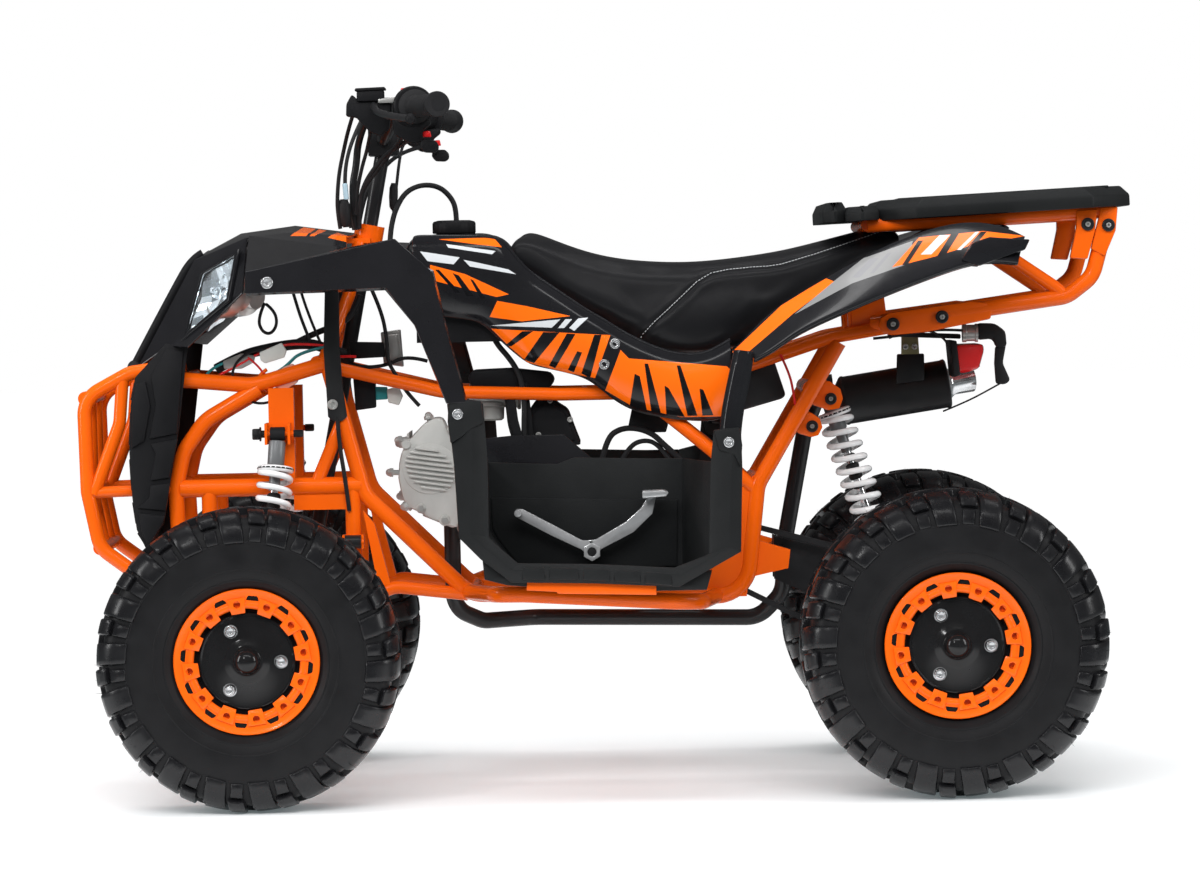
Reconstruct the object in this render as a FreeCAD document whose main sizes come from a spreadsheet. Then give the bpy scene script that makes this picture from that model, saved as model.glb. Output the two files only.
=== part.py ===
import FreeCAD, Part
import Sketcher
import math
import os

# A four-wheeled off-road quad bike. Millimetres, X forward, Y left, Z up from the ground.
# Whatever belongs to the front is placed from the front axle, and the rear from the rear axle.
Vec = FreeCAD.Vector
doc = FreeCAD.newDocument("QuadBike")

# Driving sizes
SIZES = [
    # whole vehicle
    ("wheelbase", 1100), ("axles_mid_x", 11.4), ("overall_width", 960),
    # tyres
    ("front_tyre_radius", 237), ("front_tyre_width", 178), ("rear_tyre_radius", 240),
    ("rear_tyre_width", 235), ("lug_height", 11), ("lug_count", 18), ("tyre_fit", 0.3),
    # rims
    ("rim_radius", 113.5), ("rim_barrel_radius", 99), ("rim_wall", 4), ("flange_thickness", 6),
    ("front_rim_inset", 15), ("rear_rim_inset", 17), ("rim_back_inset", 12),
    ("tooth_inner_radius", 74), ("ring_inner_radius", 84), ("tooth_count", 12),
    ("tooth_half_width", 9), ("window_radius", 101.5), ("window_size", 7), ("disc_recess", 22),
    ("disc_thickness", 5),
    ("hub_cap_radius", 22), ("hub_cap_height", 18), ("hub_radius", 30), ("hub_length", 28),
    ("stub_radius", 8), ("running_gap", 0.1), ("drum_radius", 48),
    # frame
    ("frame_half_width", 115), ("main_tube_radius", 12.7), ("rail_tube_radius", 14.5),
    ("brace_tube_radius", 10.5),
    ("guard_tube_radius", 11.5), ("guard_half_width", 120), ("bottom_rail_z", 312),
    ("front_rail_z", 492), ("plate_thickness", 4), ("fit_gap", 0.3),
    # steering and front suspension
    ("column_rake", 11), ("column_foot_x", -75), ("column_foot_z", 352), ("column_radius", 12),
    ("bar_height_z", 1052), ("kingpin_inset", 84), ("kingpin_radius", 8), ("steer_arm_length", 62),
    ("lower_arm_z", 178), ("upper_arm_z", 296), ("arm_tube_radius", 8), ("bush_radius", 11),
    ("pivot_y", 140), ("lower_pivot_z", 292), ("upper_pivot_z", 402), ("pivot_rear_x", -152),
    ("pivot_front_x", 80), ("rod_pin_radius", 4), ("pivot_bolt_radius", 5), ("tie_rod_radius", 6),
    ("bush_length", 26),
    ("boss_height", 18), ("boss_radius", 12), ("kingpin_end_radius", 5), ("front_shock_x", -35),
    ("front_shock_foot_x", -12), ("front_shock_y", 205), ("damper_radius", 14), ("spring_turns", 7),
    # body
    ("wall", 4), ("front_panel_half_width", 150), ("seat_half_width", 125), ("deck_thickness", 26),
    ("deck_half_width", 215),
    ("deck_length", 496), ("deck_front_z", 932), ("deck_tilt", 2.4),
    ("footwell_outer_y", 400), ("footwell_inner_y", 175), ("footwell_rim", 40),
    ("foot_bar_y", 330),
    # engine and drive
    ("engine_half_width", 95), ("exhaust_radius", 13.5), ("muffler_radius", 43),
    ("chain_y", 62), ("sprocket_radius", 78), ("axle_radius", 15), ("brake_disc_radius", 85),
    ("grip_radius", 17), ("bar_radius", 11), ("cable_radius", 3.5), ("spring_radius", 30),
    ("spring_wire", 4.5),
    ("carrier_radius", 34), ("chain_half_width", 6), ("chain_height", 9),
    ("swing_pivot_x", -292), ("swing_pivot_z", 362), ("swing_bolt_radius", 7),
    ("drive_sprocket_radius", 30), ("drive_sprocket_x", -88), ("drive_sprocket_z", 420),
]
sheet = doc.addObject("Spreadsheet::Sheet", "Sizes")
for row, (name, value) in enumerate(SIZES, start=1):
    sheet.set("A%d" % row, name)
    sheet.set("B%d" % row, str(value))
    sheet.setAlias("B%d" % row, name)
doc.recompute()


class Size(float):
    """A number that also carries the expression it comes from, to bind sketches to."""

    def __new__(cls, value, text):
        size = float.__new__(cls, value)
        size.text = text
        return size

    def _with(self, other, value, sign, flip=False):
        first, second = (words(other), self.text) if flip else (self.text, words(other))
        return Size(value, "(%s %s %s)" % (first, sign, second))

    def __add__(self, other):
        return self._with(other, float(self) + float(other), "+")

    def __sub__(self, other):
        return self._with(other, float(self) - float(other), "-")

    def __mul__(self, other):
        return self._with(other, float(self) * float(other), "*")

    def __truediv__(self, other):
        return self._with(other, float(self) / float(other), "/")

    def __radd__(self, other):
        return self._with(other, float(other) + float(self), "+", True)

    def __rsub__(self, other):
        return self._with(other, float(other) - float(self), "-", True)

    def __rmul__(self, other):
        return self._with(other, float(other) * float(self), "*", True)

    def __neg__(self):
        return Size(-float(self), "(0 - %s)" % self.text)


def words(value):
    return value.text if isinstance(value, Size) else repr(float(value))


class Sheet:
    """Gives a size of the spreadsheet by its name."""

    def __getattr__(self, name):
        return Size(float(sheet.get(name)), "Sizes." + name)


S = Sheet()
FRONT = S.axles_mid_x + S.wheelbase / 2
REAR = S.axles_mid_x - S.wheelbase / 2
FRONT_Y = (S.overall_width - S.front_tyre_width) / 2
REAR_Y = (S.overall_width - S.rear_tyre_width) / 2
KINGPIN_Y = FRONT_Y - S.kingpin_inset
HALF = S.frame_half_width
LOW = S.bottom_rail_z
RAIL = S.front_rail_z
SUBPARTS = []


def F(x):
    """An X measured forward from the front axle."""
    return float(FRONT + x)


def M(x):
    """An X measured forward from halfway between the axles."""
    return float(S.axles_mid_x + x)


def B(x):
    """An X measured forward from the rear axle."""
    return float(REAR + x)


def keep(obj, label):
    """Gives a sub-part its own label, which names its file."""
    obj.Label = label
    SUBPARTS.append(obj)
    return obj


def feature(label, *shapes):
    """A sub-part whose solids are set directly."""
    obj = doc.addObject("Part::Feature", label)
    solids = [solid for shape in shapes for solid in shape.Solids]
    obj.Shape = solids[0] if len(solids) == 1 else Part.makeCompound(solids)
    return keep(obj, label)


def mirrored(shape):
    return shape.mirror(Vec(0, 0, 0), Vec(0, 1, 0))


def joined(*shapes):
    """One shape from several that touch or overlap."""
    whole = shapes[0]
    for shape in shapes[1:]:
        whole = whole.fuse(shape)
    return whole


def pair(shape):
    """A shape and its mirror image."""
    return [shape, mirrored(shape)]


# Solids that many pieces are made of
def rounded_path(points, bend):
    """Straight runs joined by arcs of the bend radius, or less where a run is short."""
    points = [Vec(*p) for p in points]
    edges = []
    start = points[0]
    for before, corner, after in zip(points, points[1:], points[2:]):
        into = (corner - before).normalize()
        out = (after - corner).normalize()
        turn = into.getAngle(out)
        if turn < 0.02:
            continue
        run = min((corner - before).Length, (after - corner).Length)
        setback = min(bend * math.tan(turn / 2), 0.45 * run)
        radius = setback / math.tan(turn / 2)
        first = corner - into * setback
        last = corner + out * setback
        middle = (out - into).normalize()
        centre = corner + middle * math.hypot(radius, setback)
        edges.append(Part.LineSegment(start, first).toShape())
        edges.append(Part.Arc(first, centre - middle * radius, last).toShape())
        start = last
    edges.append(Part.LineSegment(start, points[-1]).toShape())
    return Part.Wire(edges)


def tube(points, radius, bend=60):
    """A round bar along a bent path."""
    wire = rounded_path(points, bend)
    first = Vec(*points[0])
    circle = Part.Wire([Part.Circle(first, Vec(*points[1]) - first, radius).toShape()])
    return wire.makePipe(Part.Face(circle))


def rod(start, end, radius):
    """A straight round bar between two points."""
    start, end = Vec(*start), Vec(*end)
    return Part.makeCylinder(float(radius), (end - start).Length, start, end - start)


def block(low, high):
    low, high = Vec(*low), Vec(*high)
    size = high - low
    return Part.makeBox(size.x, size.y, size.z, low)


def plate(outline, low_y, high_y):
    """A flat plate whose outline is in the XZ plane, from one Y to another."""
    points = [Vec(x, low_y, z) for x, z in outline]
    face = Part.Face(Part.makePolygon(points + points[:1]))
    return face.extrude(Vec(0, high_y - low_y, 0))


def cross_tube(x, z, radius, half_width=None):
    reach = HALF if half_width is None else half_width
    return rod((x, -reach, z), (x, reach, z), radius)


def faceted(points, panels, wall):
    """A plastic skin of flat panels between named points; its wall lies under the panels."""
    outer = {name: Vec(*p) for name, p in points.items()}
    triangles = []
    for panel in panels:
        for i in range(1, len(panel) - 1):
            triangles.append((panel[0], panel[i], panel[i + 1]))
    normals = {}
    for a, b, c in triangles:
        normal = (outer[b] - outer[a]).cross(outer[c] - outer[a]).normalize()
        for name in (a, b, c):
            normals.setdefault(name, []).append(normal)
    inner = {}
    for name, around in normals.items():
        middle = Vec()
        for normal in around:
            middle = middle + normal
        middle.normalize()
        slope = max(0.5, min(middle.dot(normal) for normal in around))
        inner[name] = outer[name] - middle * (wall / slope)
    corners = []
    edges = set()
    for a, b, c in triangles:
        corners.append((outer[a], outer[b], outer[c]))
        corners.append((inner[c], inner[b], inner[a]))
        edges.update([(a, b), (b, c), (c, a)])
    for a, b in sorted(edges):
        if (b, a) not in edges:
            corners.append((outer[b], outer[a], inner[a]))
            corners.append((outer[b], inner[a], inner[b]))
    faces = [Part.Face(Part.makePolygon(list(three) + [three[0]])) for three in corners]
    return Part.Solid(Part.Shell(faces)).removeSplitter()


def grid_skin(rows, wall):
    """A plastic skin through rows of points, each row with as many points as the next."""
    points = {(i, j): p for i, row in enumerate(rows) for j, p in enumerate(row)}
    panels = []
    for i in range(len(rows) - 1):
        for j in range(len(rows[0]) - 1):
            panels.append(((i, j), (i + 1, j), (i + 1, j + 1), (i, j + 1)))
    return faceted(points, panels, wall)


def solid_loft(sections):
    """A solid through closed outlines of points."""
    wires = []
    for section in sections:
        points = [Vec(*p) for p in section]
        wires.append(Part.makePolygon(points + points[:1]))
    return Part.makeLoft(wires, True, True)


def spring(start, end, radius, wire, turns):
    """A coil spring between two points."""
    start, end = Vec(*start), Vec(*end)
    height = (end - start).Length
    helix = Part.makeHelix(height / turns, height, radius)
    section = Part.Wire([Part.Circle(Vec(radius, 0, 0), Vec(0, 1, 0), wire).toShape()])
    coil = Part.Wire(helix).makePipeShell([section], True, True)
    coil.Placement = FreeCAD.Placement(start, FreeCAD.Rotation(Vec(0, 0, 1), end - start))
    return coil


def origin_part(body, role):
    return [part for part in body.Origin.OriginFeatures if part.Role == role][0]


def profile(body, name, role, corners):
    """A closed sketch on an origin plane, with every corner bound to the sizes."""
    sketch = body.newObject("Sketcher::SketchObject", name)
    sketch.AttachmentSupport = [(origin_part(body, role), "")]
    sketch.MapMode = "FlatFace"
    count = len(corners)
    for i, (x, y) in enumerate(corners):
        after_x, after_y = corners[(i + 1) % count]
        sketch.addGeometry(Part.LineSegment(Vec(x, y, 0), Vec(after_x, after_y, 0)), False)
    for i in range(count):
        sketch.addConstraint(Sketcher.Constraint("Coincident", i, 2, (i + 1) % count, 1))
    for i, corner in enumerate(corners):
        for kind, value in zip(("DistanceX", "DistanceY"), corner):
            if kind == "DistanceX" and value == 0:
                sketch.addConstraint(Sketcher.Constraint("PointOnObject", i, 1, -2))
                continue
            index = sketch.addConstraint(Sketcher.Constraint(kind, -1, 1, i, 1, float(value)))
            if isinstance(value, Size):
                sketch.setExpression("Constraints[%d]" % index, value.text)
    return sketch


def revolved(body, name, sketch, kind="PartDesign::Revolution"):
    turned = body.newObject(kind, name)
    turned.Profile = sketch
    turned.ReferenceAxis = (sketch, ["V_Axis"])
    turned.Angle = 360
    return turned


def face_sketch(body, name, corners, y):
    """A sketch seen along the wheel's axis, moved out to a Y of the wheel."""
    sketch = profile(body, name, "XZ_Plane", corners)
    sketch.AttachmentOffset = FreeCAD.Placement(Vec(0, 0, -y), FreeCAD.Rotation())
    sketch.setExpression("AttachmentOffset.Base.z", (-y).text)
    return sketch


def cut_around(body, name, sketch, depth, count):
    """A pocket into the wheel's face, repeated around the wheel's axis."""
    cut = body.newObject("PartDesign::Pocket", name)
    cut.Profile = sketch
    cut.Reversed = True
    cut.Length = float(depth)
    cut.setExpression("Length", words(depth))
    doc.recompute()
    pattern = body.newObject("PartDesign::PolarPattern", name + "Pattern")
    pattern.Originals = [cut]
    pattern.Axis = (origin_part(body, "Y_Axis"), [""])
    pattern.Angle = 360
    pattern.Occurrences = int(count)
    pattern.setExpression("Occurrences", words(count))
    body.Tip = pattern
    doc.recompute()


# Wheels
def rim(label, place, tyre_half, rim_inset, bore, side):
    """A pressed rim: barrel, two flanges, toothed outer ring, recessed disc, hub and cap."""
    body = doc.addObject("PartDesign::Body", label)
    out = tyre_half - rim_inset
    back = S.rim_back_inset - out
    flange = S.flange_thickness
    barrel = S.rim_barrel_radius
    inside = barrel - S.rim_wall
    disc_out = out - S.disc_recess
    disc_in = disc_out - S.disc_thickness
    cap_end = disc_out + S.hub_cap_height
    bore_end = cap_end - S.wall
    corners = [
        (S.tooth_inner_radius, out - flange), (S.tooth_inner_radius, out),
        (S.rim_radius, out), (S.rim_radius, out - flange), (barrel, out - flange),
        (barrel, back + flange), (S.rim_radius, back + flange), (S.rim_radius, back),
        (inside, back), (inside, disc_in), (S.hub_radius, disc_in),
        (S.hub_radius, disc_in - S.hub_length), (bore, disc_in - S.hub_length),
        (bore, bore_end), (0, bore_end), (0, cap_end), (S.hub_cap_radius * 0.6, cap_end),
        (S.hub_cap_radius, disc_out + S.hub_cap_height * 0.5), (S.hub_cap_radius, disc_out),
        (inside, disc_out), (inside, out - flange),
    ]
    revolved(body, "Section", profile(body, "SectionSketch", "XY_Plane", corners))
    doc.recompute()
    gap_from = S.tooth_inner_radius - S.wall
    gap_half = S.ring_inner_radius * (math.pi / 12) - S.tooth_half_width
    gap = [(gap_from, -gap_half), (S.ring_inner_radius, -gap_half),
           (S.ring_inner_radius, gap_half), (gap_from, gap_half)]
    front = out + S.wall
    cut_around(body, "Gap", face_sketch(body, "GapSketch", gap, front),
               flange + S.wall * 2, S.tooth_count)
    near = S.window_radius - S.window_size / 2
    far = S.window_radius + S.window_size / 2
    window = [(near, -S.window_size), (far, -S.window_size),
              (far, S.window_size), (near, S.window_size)]
    cut_around(body, "Window", face_sketch(body, "WindowSketch", window, front),
               flange + S.wall, S.tooth_count)
    turn = 0 if side > 0 else 180
    body.Placement = FreeCAD.Placement(Vec(*place), FreeCAD.Rotation(turn, 0, 0))
    return keep(body, label)


def flat_faces(corners):
    """One flat face, or two triangles where the four corners aren't in one plane."""
    a, b, c, d = corners
    if abs((b - a).cross(c - a).dot(d - a)) < 0.001:
        return [Part.Face(Part.makePolygon([a, b, c, d, a]))]
    return [Part.Face(Part.makePolygon([a, b, c, a])), Part.Face(Part.makePolygon([a, c, d, a]))]


def band(first, second):
    """Flat faces between two closed rings of points, of which one may have twice as many."""
    faces = []
    if len(first) == len(second):
        for i in range(len(first)):
            k = (i + 1) % len(first)
            faces += flat_faces([first[i], first[k], second[k], second[i]])
        return faces
    coarse, fine = (first, second) if len(first) < len(second) else (second, first)
    for i in range(len(coarse)):
        a, b = coarse[i], coarse[(i + 1) % len(coarse)]
        c, d, e = fine[2 * i], fine[2 * i + 1], fine[(2 * i + 2) % len(fine)]
        for three in ((a, c, d), (a, d, b), (b, d, e)):
            faces.append(Part.Face(Part.makePolygon(list(three) + [three[0]])))
    return faces


def tyre(label, place, radius, width, rim_inset, side):
    """A balloon tyre whose beads sit between the rim's flanges, with lugs that alternate."""
    half = float(width / 2)
    bead = half - rim_inset - S.flange_thickness - S.tyre_fit
    back_bead = half - rim_inset - S.rim_back_inset - S.flange_thickness - S.tyre_fit
    count = int(S.lug_count)
    seat = (S.rim_barrel_radius + S.tyre_fit) / math.cos(math.pi / (count * 2))
    over_flange = S.rim_radius + S.rim_wall
    groove = radius - S.lug_height
    turns = [(i + share) / count for i in range(count) for share in (0.08, 0.50, 0.58, 1.0)]

    def ring(heights, y, every):
        points = []
        for i in range(0, len(turns), every):
            angle = 2 * math.pi * turns[i]
            r = float(heights[i % len(heights)])
            points.append(Vec(*place) + Vec(r * math.cos(angle), y * side, r * math.sin(angle)))
        return points

    outer = [radius, radius, groove, groove]
    inner = outer[::-1]
    wide = 0.72 * half
    rings = [ring([seat], -back_bead, 2), ring([over_flange], -back_bead, 2),
             ring([radius * 0.70], -half, 2), ring([radius * 0.86], -half * 0.96, 2),
             ring(inner, -wide, 1), ring(inner, -half * 0.10, 1),
             ring(outer, half * 0.10, 1), ring(outer, wide, 1),
             ring([radius * 0.86], half * 0.96, 2), ring([radius * 0.70], half, 2),
             ring([over_flange], bead, 2), ring([seat], bead, 2)]
    faces = []
    for i, first in enumerate(rings):
        faces += band(first, rings[(i + 1) % len(rings)])
    shell = Part.makeShell(faces)
    shell.sewShape()
    solid = Part.Solid(shell)
    return feature(label, solid if solid.Volume > 0 else solid.reversed())


def front_wheels():
    for side_name, side in (("left", 1), ("right", -1)):
        place = (F(0), FRONT_Y * side, S.front_tyre_radius)
        bore = S.stub_radius + S.running_gap
        rim("rim_front_" + side_name, place, S.front_tyre_width / 2, S.front_rim_inset, bore, side)
        tyre("tyre_front_" + side_name, place, S.front_tyre_radius, S.front_tyre_width,
             S.front_rim_inset, side)


def rear_wheels():
    for side_name, side in (("left", 1), ("right", -1)):
        place = (B(0), REAR_Y * side, S.rear_tyre_radius)
        rim("rim_rear_" + side_name, place, S.rear_tyre_width / 2, S.rear_rim_inset,
            S.axle_radius, side)
        tyre("tyre_rear_" + side_name, place, S.rear_tyre_radius, S.rear_tyre_width,
             S.rear_rim_inset, side)


def rear_axle():
    """The live axle with its carriers for the sprocket and the brake disc."""
    z = S.rear_tyre_radius
    reach = REAR_Y + S.rear_tyre_width / 2 - S.rear_rim_inset - S.disc_recess
    shaft = rod((B(0), -reach, z), (B(0), reach, z), S.axle_radius)
    feature("rear_axle", shaft)
    for label, middle, radius in (("sprocket", S.chain_y, S.sprocket_radius),
                                  ("brake_disc", -S.chain_y, S.brake_disc_radius)):
        half = S.plate_thickness / 2
        boss = S.plate_thickness * 3
        ring = joined(rod((B(0), middle - half, z), (B(0), middle + half, z), radius),
                      rod((B(0), middle - boss, z), (B(0), middle + boss, z), S.hub_radius))
        feature(label, ring.cut(shaft))


# Frame
def coped(shape, *others):
    """A shape notched where it meets others, as a tube is coped before welding."""
    for other in others:
        if shape.BoundBox.intersect(other.BoundBox):
            shape = shape.cut(other)
    return shape


def node(label):
    """The shape of a sub-part that is already made."""
    return [part.Shape for part in SUBPARTS if part.Label == label][0]


def main_frame():
    """Two side loops, seat rails, cross tubes and the plates in the loops' rear corners."""
    tube_r = S.main_tube_radius
    brace_r = S.brace_tube_radius
    loop = tube([(M(438), HALF, 702), (M(379), HALF, 477), (M(212), HALF, LOW),
                 (M(-236), HALF, LOW - 12), (M(-257), HALF, 480), (B(158), HALF, 708)], tube_r, 55)
    seat_rail = tube([(M(430), HALF, 684), (M(250), HALF - 25, 640), (M(60), HALF - 30, 632),
                      (M(-120), HALF - 30, 632), (B(262), HALF - 10, 686),
                      (B(170), HALF, 716), (B(60), HALF, 733)], brace_r, 80)
    diagonal = tube([(M(-96), HALF - 25, 610), (M(-184), HALF, 537), (M(-252), HALF, 474)],
                    brace_r, 80)
    corner = plate([(M(-140), LOW - 12), (M(-236), LOW - 12), (M(-257), 478), (M(-232), 478),
                    (M(-222), 392), (M(-172), 335)], HALF - 3, HALF + 3)
    ear_upper = joined(rod((B(170), 14, 614), (B(170), 20, 614), 15),
                       plate([(B(160), 624), (B(178), 602), (B(214), 620), (B(196), 648)], 14, 20))
    pivot_x, pivot_z = M(S.swing_pivot_x), S.swing_pivot_z
    lug = plate([(M(-243), 394), (M(-240), 330), (pivot_x - 12, pivot_z - 18),
                 (pivot_x - 16, pivot_z + 12)], HALF - 8, HALF)
    sides = []
    for shape in (loop, seat_rail, diagonal, corner):
        sides += pair(shape)
    ears = pair(ear_upper) + pair(lug)
    bolts = [cross_tube(pivot_x, pivot_z, S.swing_bolt_radius),
             cross_tube(B(170), 614, S.pivot_bolt_radius, 20)]
    crosses = [cross_tube(M(452), 692, brace_r, HALF), cross_tube(M(205), LOW + 2, brace_r),
               cross_tube(M(-190), LOW - 10, brace_r), cross_tube(M(-257), 484, tube_r),
               cross_tube(B(205), 634, tube_r), cross_tube(B(70), 731, brace_r),
               cross_tube(M(20), 632, brace_r * 0.85, HALF - 30)]
    feature("main_frame", joined(*sides, *crosses, *ears, *bolts))


def pivot_bracket(x, z):
    """A bolt along X between two ears that stand out from a frame post."""
    ear = S.plate_thickness
    inside = S.bush_length / 2 + S.fit_gap
    reach = S.bush_radius
    parts = [rod((x - inside - ear, S.pivot_y, z), (x + inside + ear, S.pivot_y, z),
                 S.pivot_bolt_radius)]
    for low in (x - inside - ear, x + inside):
        parts.append(block((low, HALF, z - reach), (low + ear, S.pivot_y + reach * 0.2, z + reach)))
    base = S.pivot_y - S.bush_radius - S.fit_gap
    parts.append(block((x - inside - ear, HALF, z - reach), (x + inside + ear, base, z + reach)))
    return joined(*parts)


def front_frame():
    """Rails, arm posts and shock towers ahead of the down tubes, and the head support."""
    tube_r = S.main_tube_radius
    brace_r = S.brace_tube_radius
    top = tube([(F(118), HALF, 668), (F(4), HALF, 657), (F(-114), HALF, 690)], tube_r, 90)
    curved = tube([(F(-4), HALF, 652), (F(84), HALF, 602), (F(120), HALF, 552),
                   (F(134), HALF, RAIL), (F(126), HALF, S.lower_pivot_z)], tube_r, 70)
    middle = rod((F(126), HALF, RAIL), (F(-166), HALF, RAIL), S.rail_tube_radius)
    low = tube([(F(126), HALF, S.lower_pivot_z), (F(-172), HALF, S.lower_pivot_z),
                (F(-206), HALF, 328), (M(215), HALF, LOW)], brace_r, 50)
    strut = rod((F(-138), HALF, 598), (F(-92), HALF, RAIL), brace_r)
    shock_x = S.front_shock_x
    tower = block((F(shock_x - 25), HALF - 12, RAIL), (F(shock_x + 16), HALF + 10, 652))
    hanger = plate([(F(-186), 430), (F(-211), 329), (F(-190), 329), (F(-168), 452)],
                   HALF - 8, HALF + 8)
    apart = S.damper_radius + 2.5
    shock_ears = [block((F(shock_x - apart - 4), HALF, 562), (F(shock_x - apart), HALF + 48, 596)),
                  block((F(shock_x + apart), HALF - 12, 562), (F(shock_x + apart + 4), HALF + 48, 596)),
                  block((F(shock_x - apart), HALF - 12, 562), (F(shock_x + apart), HALF + 12, 596)),
                  rod((F(shock_x - 26), HALF + 37, 579), (F(shock_x + 26), HALF + 37, 579),
                      S.pivot_bolt_radius)]
    posts = [rod((F(x), HALF, S.lower_pivot_z - 12), (F(x), HALF, RAIL), tube_r)
             for x in (S.pivot_rear_x, S.pivot_front_x)]
    pivots = [pivot_bracket(F(x), z) for x in (S.pivot_rear_x, S.pivot_front_x)
              for z in (S.lower_pivot_z, S.upper_pivot_z)]
    head = tube([(F(-108), HALF - 6, 692), (F(-150), 60, 800), (F(-166), 34, 884)], brace_r, 60)
    left = joined(top, curved, middle, low, strut, tower, hanger, head, *posts, *pivots,
                  *shock_ears)
    crosses = [cross_tube(F(118), 668, tube_r), cross_tube(F(134), RAIL, tube_r),
               cross_tube(F(126), S.lower_pivot_z, brace_r), cross_tube(F(4), 657, brace_r),
               block((F(-98), -HALF, S.lower_pivot_z - 4), (F(-38), HALF, S.lower_pivot_z + 4)),
               block((F(-143), -HALF - 6, RAIL - 38), (F(-57), -35, RAIL - 4)),
               block((F(-143), 35, RAIL - 38), (F(-57), HALF + 6, RAIL - 4))]
    bush_low = column_point(-58)
    bush_high = column_point(12)
    bush = rod(bush_low, bush_high, S.column_radius + 7)
    neck_low = column_point(532)
    neck_high = column_point(572)
    neck = rod(neck_low, neck_high, S.column_radius + 12)
    neck_plate = block((F(-185), -42, 884), (F(-146), 42, 892))
    bore = rod(column_point(-60), column_point(700), S.column_radius + S.running_gap)
    whole = joined(left, mirrored(left), bush, neck, neck_plate, *crosses).cut(bore)
    feature("front_frame", coped(whole, node("main_frame")))


def column_point(along):
    """A point on the steering column's axis, measured up from its foot."""
    rake = math.radians(S.column_rake)
    return Vec(F(S.column_foot_x) - along * math.sin(rake), 0,
               float(S.column_foot_z) + along * math.cos(rake))


def front_guard():
    """The bumper: two bent side tubes joined by bars, with a diagonal on each side."""
    bar = S.guard_tube_radius
    y = S.guard_half_width
    side = tube([(F(134), HALF, 690), (F(204), y, 681), (F(279), y, 641), (F(276), y, 490),
                 (F(258), y, 399), (F(214), y, 366), (F(126), HALF, S.lower_pivot_z)], bar, 45)
    diagonal = tube([(F(215), y, 682), (F(222), y, 600), (F(266), y, 486)], bar * 0.9, 50)
    stay = rod((F(134), HALF, RAIL), (F(268), y, RAIL - 3), bar * 0.8)
    inner = tube([(F(276), 45, 641), (F(275), 45, 490), (F(258), 45, 399)], bar * 0.8, 45)
    bars = [cross_tube(F(277), 641, bar, y), cross_tube(F(276), 490, bar, y),
            cross_tube(F(258), 399, bar, y), cross_tube(F(209), 677, bar * 0.85, y)]
    shapes = pair(side) + pair(diagonal) + pair(stay) + pair(inner) + bars
    feature("front_guard", coped(joined(*shapes), node("front_frame")))


def rack():
    """The tubular rack carrier behind the seat and the flat deck that it holds."""
    tube_r = S.main_tube_radius
    slope = math.tan(math.radians(S.deck_tilt))
    deck_front = B(184)

    def deck_z(x):
        return S.deck_front_z + (deck_front - x) * slope

    under = float(S.deck_thickness)
    deck_back = deck_front - S.deck_length
    rail_z = (under + tube_r) / math.cos(math.radians(S.deck_tilt)) + S.fit_gap
    rail_y = 150
    arm = tube([(B(100), HALF, 738), (B(68), rail_y - 12, 741), (B(-20), rail_y, 750),
                (B(-209), rail_y, 775), (B(-250), rail_y, 806),
                (B(-280), rail_y, deck_z(B(-280)) - rail_z)], tube_r, 45)
    rail = tube([(B(110), rail_y, deck_z(B(110)) - rail_z),
                 (deck_back + 22, rail_y, deck_z(deck_back + 22) - rail_z)], tube_r)
    brace = tube([(B(-60), rail_y, deck_z(B(-60)) - rail_z), (B(-103), rail_y, 850),
                  (B(-190), rail_y, 790), (B(-206), rail_y, 775)], S.brace_tube_radius, 60)
    cross_r = S.brace_tube_radius
    crosses = [cross_tube(B(-209), 775, cross_r, rail_y),
               cross_tube(B(110), deck_z(B(110)) - rail_z, cross_r, rail_y),
               cross_tube(deck_back + 34, deck_z(deck_back + 34) - rail_z, cross_r, rail_y)]
    shapes = pair(arm) + pair(rail) + pair(brace) + crosses
    feature("rack_frame", coped(joined(*shapes), node("main_frame")))
    half = S.deck_half_width
    cut = 70
    outline = [(0, -half + cut), (-cut, -half), (-S.deck_length + cut, -half),
               (-S.deck_length, -half + cut), (-S.deck_length, half - cut),
               (-S.deck_length + cut, half), (-cut, half), (0, half - cut)]
    points = [Vec(x, y, -under) for x, y in outline]
    deck = Part.Face(Part.makePolygon(points + points[:1])).extrude(Vec(0, 0, under))
    deck.Placement = FreeCAD.Placement(Vec(deck_front, 0, S.deck_front_z),
                                       FreeCAD.Rotation(Vec(0, 1, 0), float(S.deck_tilt)))
    feature("rack_deck", deck)


def foot_bars():
    """A bar under each footrest, bent out from the loop, with the plate that the foot rests on."""
    y = S.foot_bar_y
    bar = tube([(M(214), HALF, LOW + 4), (M(165), y - 8, LOW + 12), (M(120), y, LOW + 12),
                (M(-120), y, LOW - 4), (M(-160), y - 20, LOW - 6), (M(-186), HALF, LOW - 10)],
               S.main_tube_radius, 45)
    step = block((M(-72), HALF, LOW + 8), (M(104), y, LOW + 8 + S.plate_thickness))
    legs = [block((M(x) - 3, HALF, LOW), (M(x) + 3, y, LOW + 10)) for x in (-66, 98)]
    left = joined(bar, step, *legs)
    frame = [node("main_frame"), node("front_frame")]
    feature("foot_bars", coped(left, *frame), coped(mirrored(left), *frame))


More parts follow.
